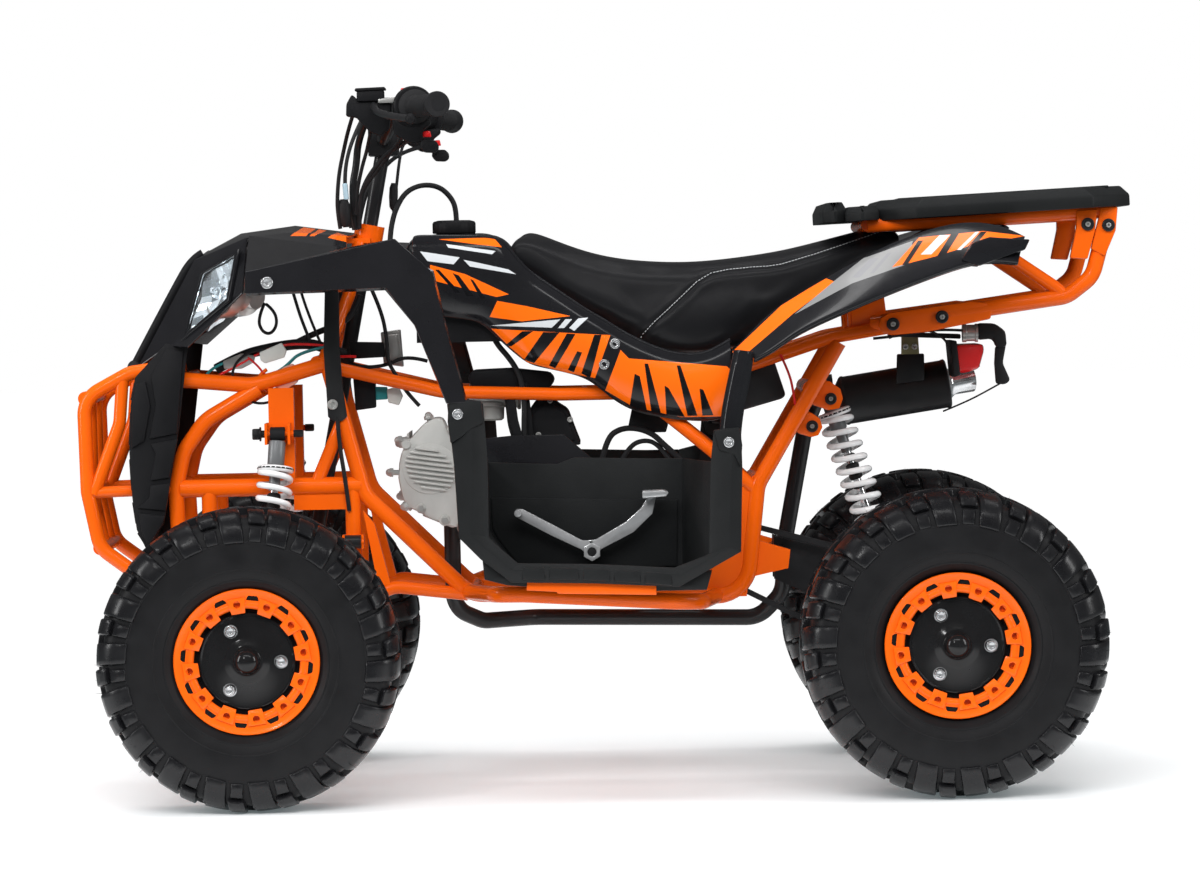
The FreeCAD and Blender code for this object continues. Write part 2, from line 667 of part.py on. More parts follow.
# Engine and drive
def engine():
    """The crankcase and the finned cylinder that leans forward from it."""
    half = S.engine_half_width
    beside_chain = S.chain_y - S.chain_half_width - 5
    case = joined(block((M(0), -half, 356), (M(176), half, 520)),
                  block((M(-70), -half, 356), (M(0), beside_chain, 520)),
                  rod((M(226), -half * 0.7, 508), (M(226), half + 18, 508), 84),
                  rod((M(-36), -half, 420), (M(-36), beside_chain, 420), 70))
    fins = []
    for i in range(7):
        x = M(306 - i * 12)
        fins.append(block((x - 4, -66, 430), (x, 66, 590)))
    barrel = rod((M(150), 0, 508), (M(318), 0, 508), 52)
    top = block((M(60), -50, 500), (M(150), 50, 560))
    drive_x = M(S.drive_sprocket_x)
    drive = rod((drive_x, beside_chain, S.drive_sprocket_z),
                (drive_x, S.chain_y + S.chain_half_width, S.drive_sprocket_z),
                S.drive_sprocket_radius - S.fit_gap)
    whole = joined(case, barrel, top, drive, *fins)
    feature("engine", coped(whole, node("main_frame")))


def intake():
    """Carburettor, its manifold and the air box under the tank."""
    carb = joined(rod((M(176), 20, 640), (M(176), 20, 576), 22),
                  rod((M(200), 20, 625), (M(120), 20, 625), 24),
                  rod((M(196), 20, 625), (M(196), 20, 560), 16))
    box = solid_loft([[(M(118), -60, 560), (M(118), 60, 560), (M(118), 60, 622), (M(118), -60, 622)],
                      [(M(20), -66, 545), (M(20), 66, 545), (M(20), 66, 622), (M(20), -66, 622)]])
    feature("carburettor", coped(joined(carb), node("engine"), node("main_frame")))
    feature("air_box", coped(box, node("carburettor"), node("engine"), node("main_frame")))


def exhaust():
    """A black pipe under the frame that rises behind it into the silencer."""
    run_y = -165
    low = LOW - 55
    pipe = tube([(M(244), -50, 450), (M(244), -62, 360), (M(244), -66, low + 20),
                 (M(196), -100, low - 4), (M(110), run_y, low - 4), (M(-264), run_y, low - 12),
                 (M(-304), -150, low + 30),
                 (M(-312), -140, 386), (B(205), -120, 560), (B(175), -100, 636),
                 (B(150), -100, 640)], S.exhaust_radius, 45)
    start, end = Vec(B(158), -100, 638), Vec(B(-30), -100, 655)
    can = rod(start, end, S.muffler_radius)
    tip = rod(end, end + (end - start).normalize() * 42, S.muffler_radius * 0.72)
    strap = block((B(58), -100, 690), (B(72), -92, 726))
    feature("exhaust_pipe", coped(pipe, can, node("engine"), node("main_frame")))
    feature("muffler", coped(joined(can, tip, strap), node("main_frame"), node("rack_frame")))


def swing_arm():
    """The arm that carries the rear axle: pivot tube, two blades and the bearing carrier."""
    z = S.rear_tyre_radius
    pivot = (M(S.swing_pivot_x), float(S.swing_pivot_z))
    carrier_half = S.chain_y - S.plate_thickness * 3 - 5
    carrier = rod((B(0), -carrier_half, z), (B(0), carrier_half, z), S.carrier_radius)
    reach = HALF - 8 - S.fit_gap
    tube_part = rod((pivot[0], -reach, pivot[1]), (pivot[0], reach, pivot[1]), 15)
    pivot_bore = rod((pivot[0], -reach, pivot[1]), (pivot[0], reach, pivot[1]),
                     S.swing_bolt_radius + S.fit_gap)
    outline = [(pivot[0] + 8, pivot[1] + 30), (pivot[0] - 90, pivot[1] + 6), (B(10), z + 34),
               (B(30), z - 20), (B(60), z - 10), (pivot[0] + 8, pivot[1] - 40)]
    blade = plate(outline, 26, 34)
    cross = block((B(92), -30, 298), (B(130), 30, 306))
    mount = [plate([(B(60), 345), (B(92), 345), (B(98), 290), (B(54), 280)], 14, 20)]
    shock_bolt = cross_tube(B(76), 332, S.pivot_bolt_radius, 20)
    whole = joined(carrier, tube_part, cross, shock_bolt, *pair(blade), *pair(mount[0]))
    bore = rod((B(0), -reach, z), (B(0), reach, z), S.axle_radius + S.running_gap)
    feature("swing_arm", coped(whole.cut(bore).cut(pivot_bore), node("main_frame")))


def chain():
    """The drive chain as one loop from the engine's sprocket to the axle's."""
    z = S.rear_tyre_radius
    big, small = S.sprocket_radius + 5, S.drive_sprocket_radius
    x_front, z_front = M(S.drive_sprocket_x), S.drive_sprocket_z
    dx, dz = x_front - B(0), z_front - z
    length = math.hypot(dx, dz)
    lean = math.asin((big - small) / length)
    slope = math.atan2(dz, dx)

    def loop(extra):
        half = S.chain_half_width
        shapes = []
        corners = []
        for sign in (1, -1):
            angle = slope + sign * (math.pi / 2 + lean)
            corners.append(((B(0) + (big + extra) * math.cos(angle), z + (big + extra) * math.sin(angle)),
                            (x_front + (small + extra) * math.cos(angle),
                             z_front + (small + extra) * math.sin(angle))))
        outline = [corners[0][0], corners[0][1], corners[1][1], corners[1][0]]
        low, high = S.chain_y - half, S.chain_y + half
        shapes.append(plate(outline, low, high))
        shapes.append(rod((B(0), low, z), (B(0), high, z), big + extra))
        shapes.append(rod((x_front, low, z_front), (x_front, high, z_front), small + extra))
        return joined(*shapes)

    feature("chain", loop(S.chain_height).cut(loop(0)))


# Suspension
def suspension_arm(side, pivot_z, boss_low, bar_y=None):
    """A wishbone: two bushed legs that meet in the boss around the kingpin's end."""
    boss_high = boss_low + S.boss_height
    outer, inner = KINGPIN_Y * side, S.pivot_y * side
    middle = (F(0), outer, (boss_low + boss_high) / 2)
    parts = [rod((F(0), outer, boss_low), (F(0), outer, boss_high), S.boss_radius)]
    cuts = [rod((F(0), outer, boss_low - 5), (F(0), outer, boss_high + 5),
                S.kingpin_end_radius + S.fit_gap)]
    half = S.bush_length / 2
    for x in (S.pivot_rear_x, S.pivot_front_x):
        start = (F(x), inner, pivot_z)
        parts.append(rod(start, middle, S.arm_tube_radius))
        parts.append(rod((F(x) - half, inner, pivot_z), (F(x) + half, inner, pivot_z),
                         S.bush_radius))
        cuts.append(rod((F(x) - half - 9, inner, pivot_z), (F(x) + half + 9, inner, pivot_z),
                        S.pivot_bolt_radius + S.fit_gap))
    if bar_y:
        share = (bar_y - S.pivot_y) / (KINGPIN_Y - S.pivot_y)
        across = bar_y * side
        z = pivot_z + (middle[2] - pivot_z) * share
        ends = [F(x * (1 - share)) for x in (S.pivot_rear_x, S.pivot_front_x)]
        parts.append(rod((ends[0], across, z), (ends[1], across, z), S.arm_tube_radius * 0.9))
        for x in (S.front_shock_foot_x - 18, S.front_shock_foot_x + 14):
            parts.append(block((F(x), across - 9, z), (F(x) + 4, across + 9, z + 34)))
        parts.append(rod((F(S.front_shock_foot_x - 18), across, z + 24),
                         (F(S.front_shock_foot_x + 18), across, z + 24), S.pivot_bolt_radius))
    whole = joined(*parts)
    for cut in cuts:
        whole = whole.cut(cut)
    return whole, (bar_y or 0, (z + 24) if bar_y else 0)


def shock(top, bottom, across, spring_top, spring_bottom):
    """A damper with an eye at each end, and its coil spring between two seats."""
    top, bottom = Vec(*top), Vec(*bottom)
    across = Vec(*across)
    down = (bottom - top).normalize()
    length = (bottom - top).Length
    eye = S.bush_radius
    half = across * (S.bush_length / 2 - 1)
    parts = []
    for centre in (top, bottom):
        parts.append(rod(centre - half, centre + half, eye))
    seat_top = top + down * spring_top
    seat_bottom = bottom - down * spring_bottom
    seat = S.plate_thickness
    parts.append(rod(top + down * 6, top + down * (length * 0.6), S.damper_radius))
    parts.append(rod(top + down * 6, bottom - down * 6, S.damper_radius * 0.5))
    parts.append(rod(seat_top - down * seat, seat_top, S.spring_radius))
    parts.append(rod(seat_bottom, seat_bottom + down * seat, S.spring_radius))
    body = joined(*parts)
    for centre in (top, bottom):
        bolt = across * S.bush_length
        body = body.cut(rod(centre - bolt, centre + bolt, S.pivot_bolt_radius + S.fit_gap))
    inset = down * (S.spring_wire + S.fit_gap)
    coil = spring(seat_top + inset, seat_bottom - inset, S.spring_radius - S.spring_wire,
                  S.spring_wire, S.spring_turns)
    return body, coil


def suspension():
    upper_low = S.upper_arm_z + S.boss_height
    lower_low = S.lower_arm_z - S.boss_height * 1.5
    for side_name, side in (("left", 1), ("right", -1)):
        lower, eye = suspension_arm(side, S.lower_pivot_z, lower_low, S.front_shock_y)
        upper, _ = suspension_arm(side, S.upper_pivot_z, upper_low)
        feature("suspension_arms_" + side_name, lower, upper)
    front_body, front_coil = shock((F(S.front_shock_x), HALF + 37, 579),
                                   (F(S.front_shock_foot_x), eye[0], eye[1]), (1, 0, 0), 66, 30)
    rear_body, rear_coil = shock((B(170), 0, 614), (B(76), 0, 332), (0, 1, 0), 24, 40)
    feature("shock_bodies", front_body, mirrored(front_body),
            coped(rear_body, node("main_frame"), node("swing_arm")))
    feature("shock_springs", front_coil, mirrored(front_coil), rear_coil)


def knuckles():
    """A kingpin with the stub axle, the brake's backing plate and the steering arm."""
    low = S.lower_arm_z + 8
    high = S.upper_arm_z + S.boss_height - 4
    axle_z = S.front_tyre_radius
    end = FRONT_Y + S.front_tyre_width / 2 - S.front_rim_inset - S.disc_recess + 6
    hub_back = end - 6 - S.disc_thickness - S.hub_length
    arm_x = F(-S.steer_arm_length)
    pin = rod((F(0), KINGPIN_Y, low), (F(0), KINGPIN_Y, high), S.kingpin_radius + 3)
    ends = rod((F(0), KINGPIN_Y, S.lower_arm_z - S.boss_height * 1.5),
               (F(0), KINGPIN_Y, high + S.boss_height + 4),
               S.kingpin_end_radius)
    stub = rod((F(0), KINGPIN_Y, axle_z), (F(0), end, axle_z), S.stub_radius)
    drum = rod((F(0), hub_back - 52, axle_z), (F(0), hub_back - 4, axle_z), S.drum_radius)
    arm = block((arm_x, KINGPIN_Y - 15, axle_z + 16), (F(0), KINGPIN_Y + 1, axle_z + 24))
    eye = rod((arm_x, KINGPIN_Y - 7, axle_z + 12), (arm_x, KINGPIN_Y - 7, axle_z + 28), 9)
    rod_pin = rod((arm_x, KINGPIN_Y - 7, axle_z + 20), (arm_x, KINGPIN_Y - 7, axle_z + 56),
                  S.rod_pin_radius)
    left = joined(pin, ends, stub, drum, arm, eye, rod_pin)
    feature("knuckle_left", left)
    feature("knuckle_right", mirrored(left))


def tie_rods():
    """A rod from each steering arm to the foot of the steering column."""
    outer = Vec(F(-S.steer_arm_length), KINGPIN_Y - 7, S.front_tyre_radius + 42)
    inner = pitman_end() + Vec(0, 18, -14)
    left = joined(rod(outer, inner, S.tie_rod_radius),
                  rod(outer - Vec(0, 0, 11), outer + Vec(0, 0, 9), 9),
                  rod(inner - Vec(0, 0, 8), inner + Vec(0, 0, 9), 9))
    left = left.cut(rod(outer - Vec(0, 0, 20), outer + Vec(0, 0, 20),
                        S.rod_pin_radius + S.running_gap))
    feature("tie_rod_left", left)
    feature("tie_rod_right", mirrored(left))


def pitman_end():
    foot = column_point(34)
    rake = math.radians(S.column_rake)
    return foot - Vec(math.cos(rake), 0, math.sin(rake)) * float(S.steer_arm_length)


# Steering
def steering():
    top = column_point((S.bar_height_z - S.column_foot_z) / math.cos(math.radians(S.column_rake)))
    shaft = rod(column_point(-10), top, S.column_radius)
    end = pitman_end()
    foot = column_point(34)
    arm = joined(rod(foot - Vec(0, 0, 6), foot + Vec(0, 0, 6), 20),
                 block((end.x - 8, -22, end.z - 4), (foot.x, 22, end.z + 5)))
    clamp = block((top.x - 22, -34, top.z - 26), (top.x + 26, 34, top.z + 20))
    bar = bar_tube(top.x, 0)
    around_bar = bar_tube(top.x, S.fit_gap)
    feature("steering_column", joined(shaft, arm, clamp).cut(bar))
    feature("handlebar", bar)
    start = Vec(top.x - 59.4, 262, S.bar_height_z + 44)
    out = Vec(top.x - 101.4, 404, S.bar_height_z + 42)
    along = (out - start).normalize()
    grip = joined(rod(start, out, S.grip_radius), rod(start, start + along * 6, S.grip_radius * 1.6),
                  rod(out - along * 5, out, S.grip_radius * 1.2))
    grip_parts = [shape.cut(around_bar) for shape in pair(grip)]
    housing = rod(start - along * 46, start - along * 1, 24)
    lever = tube([start - along * 24, start - along * 30 + Vec(44, 0, -10),
                  start + along * 30 + Vec(60, 0, -18), out + Vec(44, 0, -24)], 6, 30)
    cylinder = rod(start - along * 60 + Vec(26, 0, 10), start - along * 20 + Vec(26, 0, 14), 16)
    cap = block((top.x - 5.4, 196, S.bar_height_z + 48), (top.x + 27.6, 250, S.bar_height_z + 76))
    control = coped(joined(housing, lever, cylinder, cap), grip)
    feature("grips", *grip_parts)
    feature("hand_controls", *[shape.cut(around_bar) for shape in pair(control)])
    cable = tube([(top.x - 14, 204, S.bar_height_z + 55), (top.x + 6, 150, S.bar_height_z + 56),
                  (top.x + 44, 90, S.bar_height_z + 33), (top.x + 60, 40, S.bar_height_z - 32),
                  (top.x + 52, 18, S.bar_height_z - 87), (top.x + 44, 11, S.bar_height_z - 124)],
                 S.cable_radius, 40)
    feature("control_cables", *[coped(shape, *node("hand_controls").Solids) for shape in pair(cable)])


def bar_tube(x, clearance):
    """The handlebar: level in its clamp, then up and swept back to the grips."""
    z = S.bar_height_z
    left = [(x, 0, z), (x, 62, z), (x - 28.4, 150, z + 46), (x - 59.4, 262, z + 44),
            (x - 100.4, 400, z + 42)]
    path = [(x, -y, zz) for x, y, zz in left[:0:-1]] + left[1:]
    return tube(path, S.bar_radius + clearance, 45)


# Body panels
def footwells():
    """A plastic tray for each foot: front and rear walls, floor, inner wall and outer rim."""
    outer_y, inner_y = S.footwell_outer_y, S.footwell_inner_y
    wall = S.wall
    outside = [(M(231), 628), (M(216), 417), (M(184), 382), (M(140), 341), (M(-128), 336),
               (M(-170), 334), (M(-219), 392), (M(-222), 577)]
    thin = offset_outline(outside, wall)
    broad = offset_outline(outside, S.footwell_rim)
    tray = plate(outside + thin[::-1], inner_y, outer_y)
    rim_band = plate(outside + broad[::-1], outer_y - wall, outer_y)
    inner = plate([(M(178), 530), (M(64), 523), (M(47), 533), (M(-132), 534), (M(-181), 537),
                   (M(-215), 500), (M(-217), 393), (M(-169), 336), (M(140), 342), (M(184), 383),
                   (M(214), 417), (M(218), 440)], inner_y, inner_y + wall)
    left = joined(tray, rim_band, inner)
    held_by = [node("foot_bars"), node("main_frame")]
    feature("footwell_left", coped(left, node("shift_pedal"), *held_by))
    feature("footwell_right", coped(mirrored(left), *held_by))


def offset_outline(points, distance):
    """A polyline in XZ moved sideways, with mitred corners, to its left as it is listed."""
    moved = []
    last = len(points) - 1
    for i, (x, z) in enumerate(points):
        normals = []
        for a, b in ((i - 1, i), (i, i + 1)):
            if a >= 0 and b <= last:
                dx, dz = points[b][0] - points[a][0], points[b][1] - points[a][1]
                length = math.hypot(dx, dz)
                normals.append((dz / length, -dx / length))
        nx = sum(n[0] for n in normals)
        nz = sum(n[1] for n in normals)
        share = (nx * nx + nz * nz) / len(normals)
        moved.append((x + nx * distance / share, z + nz * distance / share))
    return moved


def front_fenders():
    """A faceted beam over each front wheel that turns down to the footwell."""
    points = {
        "in_front": (F(1), 200, 894), "in_rear": (F(-155), 200, 871),
        "crease_front": (F(-5), 380, 836), "peak": (F(-238), 384, 882),
        "low_front": (F(-4), 384, 808), "low_rear": (F(-225), 388, 812),
        "back_high": (F(-293), 388, 831), "back_mid": (F(-311), 394, 751),
        "back_low": (M(208), 402, 629), "edge_mid": (F(-271), 396, 752),
        "edge_low": (M(231), 403, 629), "in_peak": (F(-222), 236, 866),
    }
    panels = [
        ("in_front", "in_rear", "peak", "crease_front"), ("in_rear", "in_peak", "peak"),
        ("crease_front", "peak", "low_rear", "low_front"),
        ("peak", "back_high", "low_rear"), ("back_high", "back_mid", "edge_mid", "low_rear"),
        ("back_mid", "back_low", "edge_low", "edge_mid"),
    ]
    left = faceted(points, [panel[::-1] for panel in panels], S.wall)
    left = coped(left, node("footwell_left"))
    feature("front_fender_left", left)
    feature("front_fender_right", mirrored(left))


def nose():
    """The nose: bonnet, centre shield and the surround of each headlight, with its lens."""
    points = {
        "rear": (F(-165), 0, 900), "rear_side": (F(-150), 120, 893),
        "rear_edge": (F(-155), 199, 871), "top": (F(28), 0, 903), "top_side": (F(16), 110, 901),
        "top_edge": (F(5), 199, 894), "brow": (F(98), 0, 868), "brow_side": (F(96), 120, 860),
        "tip": (F(194), 0, 688), "tip_side": (F(192), 112, 688), "chin": (F(136), 140, 722),
        "cheek": (F(105), 186, 721), "jaw": (F(10), 250, 806),
        "lens_top": (F(21), 212, 865), "lens_front": (F(76), 164, 837),
        "lens_low": (F(105), 164, 742), "lens_back": (F(34), 230, 796),
    }
    panels = [
        ("rear", "top", "top_side", "rear_side"), ("rear_side", "top_side", "top_edge", "rear_edge"),
        ("top", "brow", "brow_side", "top_side"), ("top_side", "brow_side", "top_edge"),
        ("brow", "tip", "tip_side", "brow_side"), ("brow_side", "tip_side", "chin"),
        ("top_edge", "brow_side", "lens_front", "lens_top"),
        ("brow_side", "chin", "lens_low", "lens_front"), ("chin", "cheek", "lens_low"),
        ("cheek", "jaw", "lens_back", "lens_low"), ("jaw", "top_edge", "lens_top", "lens_back"),
    ]
    left = faceted(points, panels, S.wall)
    corners = [Vec(*points[name]) for name in ("lens_top", "lens_front", "lens_low", "lens_back")]
    middle = (corners[0] + corners[1] + corners[2] + corners[3]) * 0.25
    normal = (corners[2] - corners[0]).cross(corners[3] - corners[1]).normalize()
    if normal.x < 0:
        normal = normal * -1
    lamp_points = {i: middle + (c - middle) * 1.05 - normal * 2 for i, c in enumerate(corners)}
    lamp_points[4] = middle + normal * 6
    ring = [(i, (i + 1) % 4, 4) for i in range(4)]
    facing = (lamp_points[1] - lamp_points[0]).cross(lamp_points[4] - lamp_points[0])
    if facing.dot(normal) < 0:
        ring = [three[::-1] for three in ring]
    lens = faceted(lamp_points, ring, S.wall)
    bucket = rod(middle - normal * 1, middle - normal * 62, 36)
    lamp = joined(lens, bucket)
    feature("nose_cover", coped(joined(left, mirrored(left)), lamp, mirrored(lamp),
                                node("front_frame"), node("front_guard")))
    feature("headlights", lamp, mirrored(lamp))


def front_panel():
    """The ribbed splash panel behind the guard, with a side wall on each edge."""
    half = S.front_panel_half_width
    wall = S.wall
    front = [(F(181), 396), (F(196), 429), (F(202), 481), (F(205), 553), (F(201), 630),
             (F(193), 674)]
    back = [(F(140), 712), (F(111), 708), (F(116), 654), (F(124), 592), (F(137), 521),
            (F(146), 469), (F(152), 439)]
    face = plate(front + [(x - wall, z) for x, z in front[::-1]], -half, half)
    side = plate(front + back, half - wall, half)
    feature("front_panel", coped(joined(face, *pair(side)), node("front_frame"), node("front_guard")))


def tank_cover():
    """The glossy cover of the tank and the two side panels under the seat's edge, in one skin."""
    top_z = 889
    upper = [(M(300), top_z), (M(153), top_z + 1), (M(118), 838), (M(66), 799), (M(-4), 758),
             (M(-45), 728), (M(-83), 709), (M(-135), 698), (M(-188), 703), (M(-222), 716)]
    lower = [(M(300), 790), (M(153), 712), (M(120), 684), (M(66), 664), (M(-4), 638), (M(-45), 613),
             (M(-83), 599), (M(-135), 590), (M(-188), 589), (M(-222), 599)]
    rows = []
    for (x, high), (_, low) in zip(upper, lower):
        middle = (high + low) / 2
        rows.append([(x, 122, high), (x, 136, middle), (x, 124, low)])
    side = grid_skin(rows, S.wall)
    lid = solid_loft([[(M(300), -123, top_z), (M(300), 0, top_z + 9), (M(300), 123, top_z),
                       (M(300), 123, top_z - 5), (M(300), 0, top_z + 4), (M(300), -123, top_z - 5)],
                      [(M(150), -123, top_z), (M(150), 0, top_z + 7), (M(150), 123, top_z),
                       (M(150), 123, top_z - 5), (M(150), 0, top_z + 2), (M(150), -123, top_z - 5)]])
    cap_hole = rod((M(229), 0, 860), (M(229), 0, 930), 30)
    cover = joined(side, mirrored(side), lid).cut(cap_hole)
    feature("tank_cover", coped(cover, node("main_frame"), node("front_frame")))
    tank = solid_loft([[(M(290), -100, 720), (M(290), 100, 720), (M(290), 100, 880), (M(290), -100, 880)],
                       [(M(130), -100, 720), (M(130), 100, 720), (M(130), 100, 848), (M(130), -100, 848)]])
    neck = rod((M(229), 0, 870), (M(229), 0, 898), 29)
    feature("fuel_tank", coped(joined(tank, neck), node("main_frame"), node("front_frame")))
    cap = rod((M(229), 0, 898), (M(229), 0, 918), 35.5)
    hose = tube([(M(225), 0, 915), (M(225), 0, 965), (M(262), 0, 984), (M(308), 0, 968), (M(338), 14, 920),
                 (M(342), 18, 906)], 4.5, 40)
    feature("fuel_cap", joined(cap, hose))


def seat():
    """The seat pad, lofted along the vehicle."""
    half = S.seat_half_width
    top = [(140, 872), (124, 892), (73, 875), (13, 854), (-46, 842), (-125, 836), (-205, 840),
           (-272, 847), (-324, 856), (-411, 876), (-497, 896)]
    low = [866, 858, 812, 776, 735, 706, 714, 750, 778, 838, 882]
    sections = []
    for (x, high), base in zip(top, low):
        reach = half * (1.0 if x < 100 else 0.9)
        side = base + (high - base) * 0.55
        left = [(0, high), (reach * 0.7, high - 5), (reach, side), (reach, base), (0, base)]
        ring = [(M(x), y, z) for y, z in left] + [(M(x), -y, z) for y, z in left[-2:0:-1]]
        sections.append(ring)
    feature("seat", coped(solid_loft(sections), node("tank_cover"), node("main_frame")))


def rear_fender():
    """The rear fenders and the tail between them, in one faceted skin."""
    rows = [
        (328, 700, 709, 690), (244, 744, 750, 717), (180, 802, 801, 759), (116, 832, 836, 788),
        (68, 862, 862, 803), (5, 884, 884, 826), (-59, 893, 897, 838), (-114, 893, 890, 868),
    ]
    behind_seat = 5
    across = (-3, -2, -1, 0, 1, 2, 3)
    points, panels = {}, []
    for i, (x, inner_z, ridge_z, low_z) in enumerate(rows):
        heights = {0: inner_z + 2, 1: inner_z, 2: ridge_z, 3: low_z}
        widths = {0: 0, 1: 128, 2: 300, 3: 380}
        for j in across:
            y = math.copysign(widths[abs(j)], j)
            points[(i, j)] = (B(x), y, heights[abs(j)])
    for i in range(len(rows) - 1):
        for j, after in zip(across, across[1:]):
            if i >= behind_seat or abs(j + after) > 1:
                panels.append(((i, j), (i, after), (i + 1, after), (i + 1, j)))
    used = {name for panel in panels for name in panel}
    skin = faceted({name: points[name] for name in sorted(used)}, panels, S.wall)
    strut = plate([(B(334), 698), (B(286), 712), (M(-224), 580), (M(-181), 580)],
                  S.footwell_outer_y - 28, S.footwell_outer_y - 16)
    whole = joined(skin, strut, mirrored(strut))
    feature("rear_fender", coped(whole, node("footwell_left"), node("footwell_right"), node("seat"),
                                 node("main_frame"), node("rack_frame"), node("tank_cover")))


def small_parts():
    box = block((M(-300), -90, 640), (M(-232), 80, 790))
    feature("battery_box", coped(box, node("main_frame"), node("rear_fender"), node("seat")))
    lamp = block((B(-92), -60, 648), (B(-70), 60, 722))
    stem = block((B(-70), -20, 714), (B(72), 20, 722))
    feature("tail_light", coped(joined(lamp, stem), node("muffler"), node("main_frame"),
                                node("rack_frame")))


def shift_pedal():
    """The heel and toe lever, on a shaft that comes out through the footwell's inner wall."""
    hub = rod((M(10), S.engine_half_width, 387), (M(10), 234, 387), 8)
    front = tube([(M(10), 228, 387), (M(62), 228, 404), (M(132), 228, 448)], 5, 40)
    back = tube([(M(10), 228, 387), (M(-62), 228, 420), (M(-96), 228, 478)], 5, 40)
    pads = [rod((M(132), 220, 448), (M(132), 262, 448), 7), rod((M(-96), 220, 480), (M(-96), 262, 480), 7)]
    feature("shift_pedal", coped(joined(hub, front, back, *pads), node("engine")))


main_frame()
front_frame()
front_guard()
rack()
foot_bars()
engine()
intake()
exhaust()
swing_arm()
chain()
suspension()
knuckles()
tie_rods()
steering()
shift_pedal()
footwells()
front_fenders()
nose()
front_panel()
tank_cover()
seat()
rear_fender()
small_parts()
rear_axle()
front_wheels()
rear_wheels()

doc.recompute()
for obj in doc.Objects:
    if "Invalid" in obj.State or "Error" in obj.State:
        raise RuntimeError("%s is %s" % (obj.Name, obj.State))
faults = [part.Label for part in SUBPARTS
          if part.Shape.isNull() or not part.Shape.isValid() or part.Shape.Volume <= 0]
if faults:
    raise RuntimeError("No valid solid in " + ", ".join(faults))
os.makedirs("parts", exist_ok=True)
for part in SUBPARTS:
    part.Shape.exportStep("parts/%s.step" % part.Label)
print("%d sub-parts" % len(SUBPARTS))
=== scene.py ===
import bpy
import math
import random
from mathutils import Matrix, Vector
from mathutils.bvhtree import BVHTree


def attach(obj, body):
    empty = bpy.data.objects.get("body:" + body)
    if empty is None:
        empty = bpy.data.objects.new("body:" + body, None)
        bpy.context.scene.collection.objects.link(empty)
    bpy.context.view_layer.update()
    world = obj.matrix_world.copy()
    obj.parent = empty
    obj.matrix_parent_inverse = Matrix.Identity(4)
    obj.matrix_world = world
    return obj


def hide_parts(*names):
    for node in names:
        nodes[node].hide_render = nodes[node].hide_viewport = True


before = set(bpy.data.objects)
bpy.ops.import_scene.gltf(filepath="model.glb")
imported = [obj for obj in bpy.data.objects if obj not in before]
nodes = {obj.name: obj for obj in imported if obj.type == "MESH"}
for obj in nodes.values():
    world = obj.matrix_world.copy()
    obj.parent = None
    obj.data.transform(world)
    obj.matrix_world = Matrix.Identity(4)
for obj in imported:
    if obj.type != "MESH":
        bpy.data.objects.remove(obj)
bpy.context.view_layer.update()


# Camera: a long lens at hip height, square to the vehicle's left side.
CAMERA_PLACE = (0.019, 7.715, 0.8164)
FOCAL_LENGTH, SENSOR_WIDTH = 141.06, 36
look_pan, look_tilt, look_roll = math.radians(0.0828), math.radians(1.957), math.radians(-1.142)
camera_data = bpy.data.cameras.new("camera")
camera_data.lens = FOCAL_LENGTH
camera_data.sensor_width = SENSOR_WIDTH
camera_data.clip_end = 60
camera = bpy.data.objects.new("camera", camera_data)
bpy.context.scene.collection.objects.link(camera)
ahead = Vector((-math.sin(look_pan) * math.cos(look_tilt), -math.cos(look_pan) * math.cos(look_tilt),
        -math.sin(look_tilt)))
level = ahead.cross(Vector((0, 0, 1))).normalized()
upright = level.cross(ahead)
right = level * math.cos(look_roll) + upright * math.sin(look_roll)
up = upright * math.cos(look_roll) - level * math.sin(look_roll)
facing = Matrix((right, up, -ahead)).transposed().to_4x4()
camera.matrix_world = Matrix.Translation(CAMERA_PLACE) @ facing
bpy.context.scene.camera = camera
bpy.context.scene.view_settings.view_transform = "Standard"


# Studio: a pale floor that fades into a white surround. The wide soft lamps above and behind give light
# without being mirrored, and narrow strips and end lamps draw the highlights on gloss plastic and paint.
class Value:
    """A socket of a material, on which arithmetic adds the nodes that work it out."""

    def __init__(self, paint, socket):
        self.paint = paint
        self.socket = socket

    def maths(self, operation, *others):
        return self.paint.add("ShaderNodeMath", {"operation": operation}, [self, *others])

    def __add__(self, other):
        return self.maths("ADD", other)

    def __mul__(self, other):
        return self.maths("MULTIPLY", other)

    def __gt__(self, other):
        return self.maths("GREATER_THAN", other)

    __radd__ = __add__
    __rmul__ = __mul__


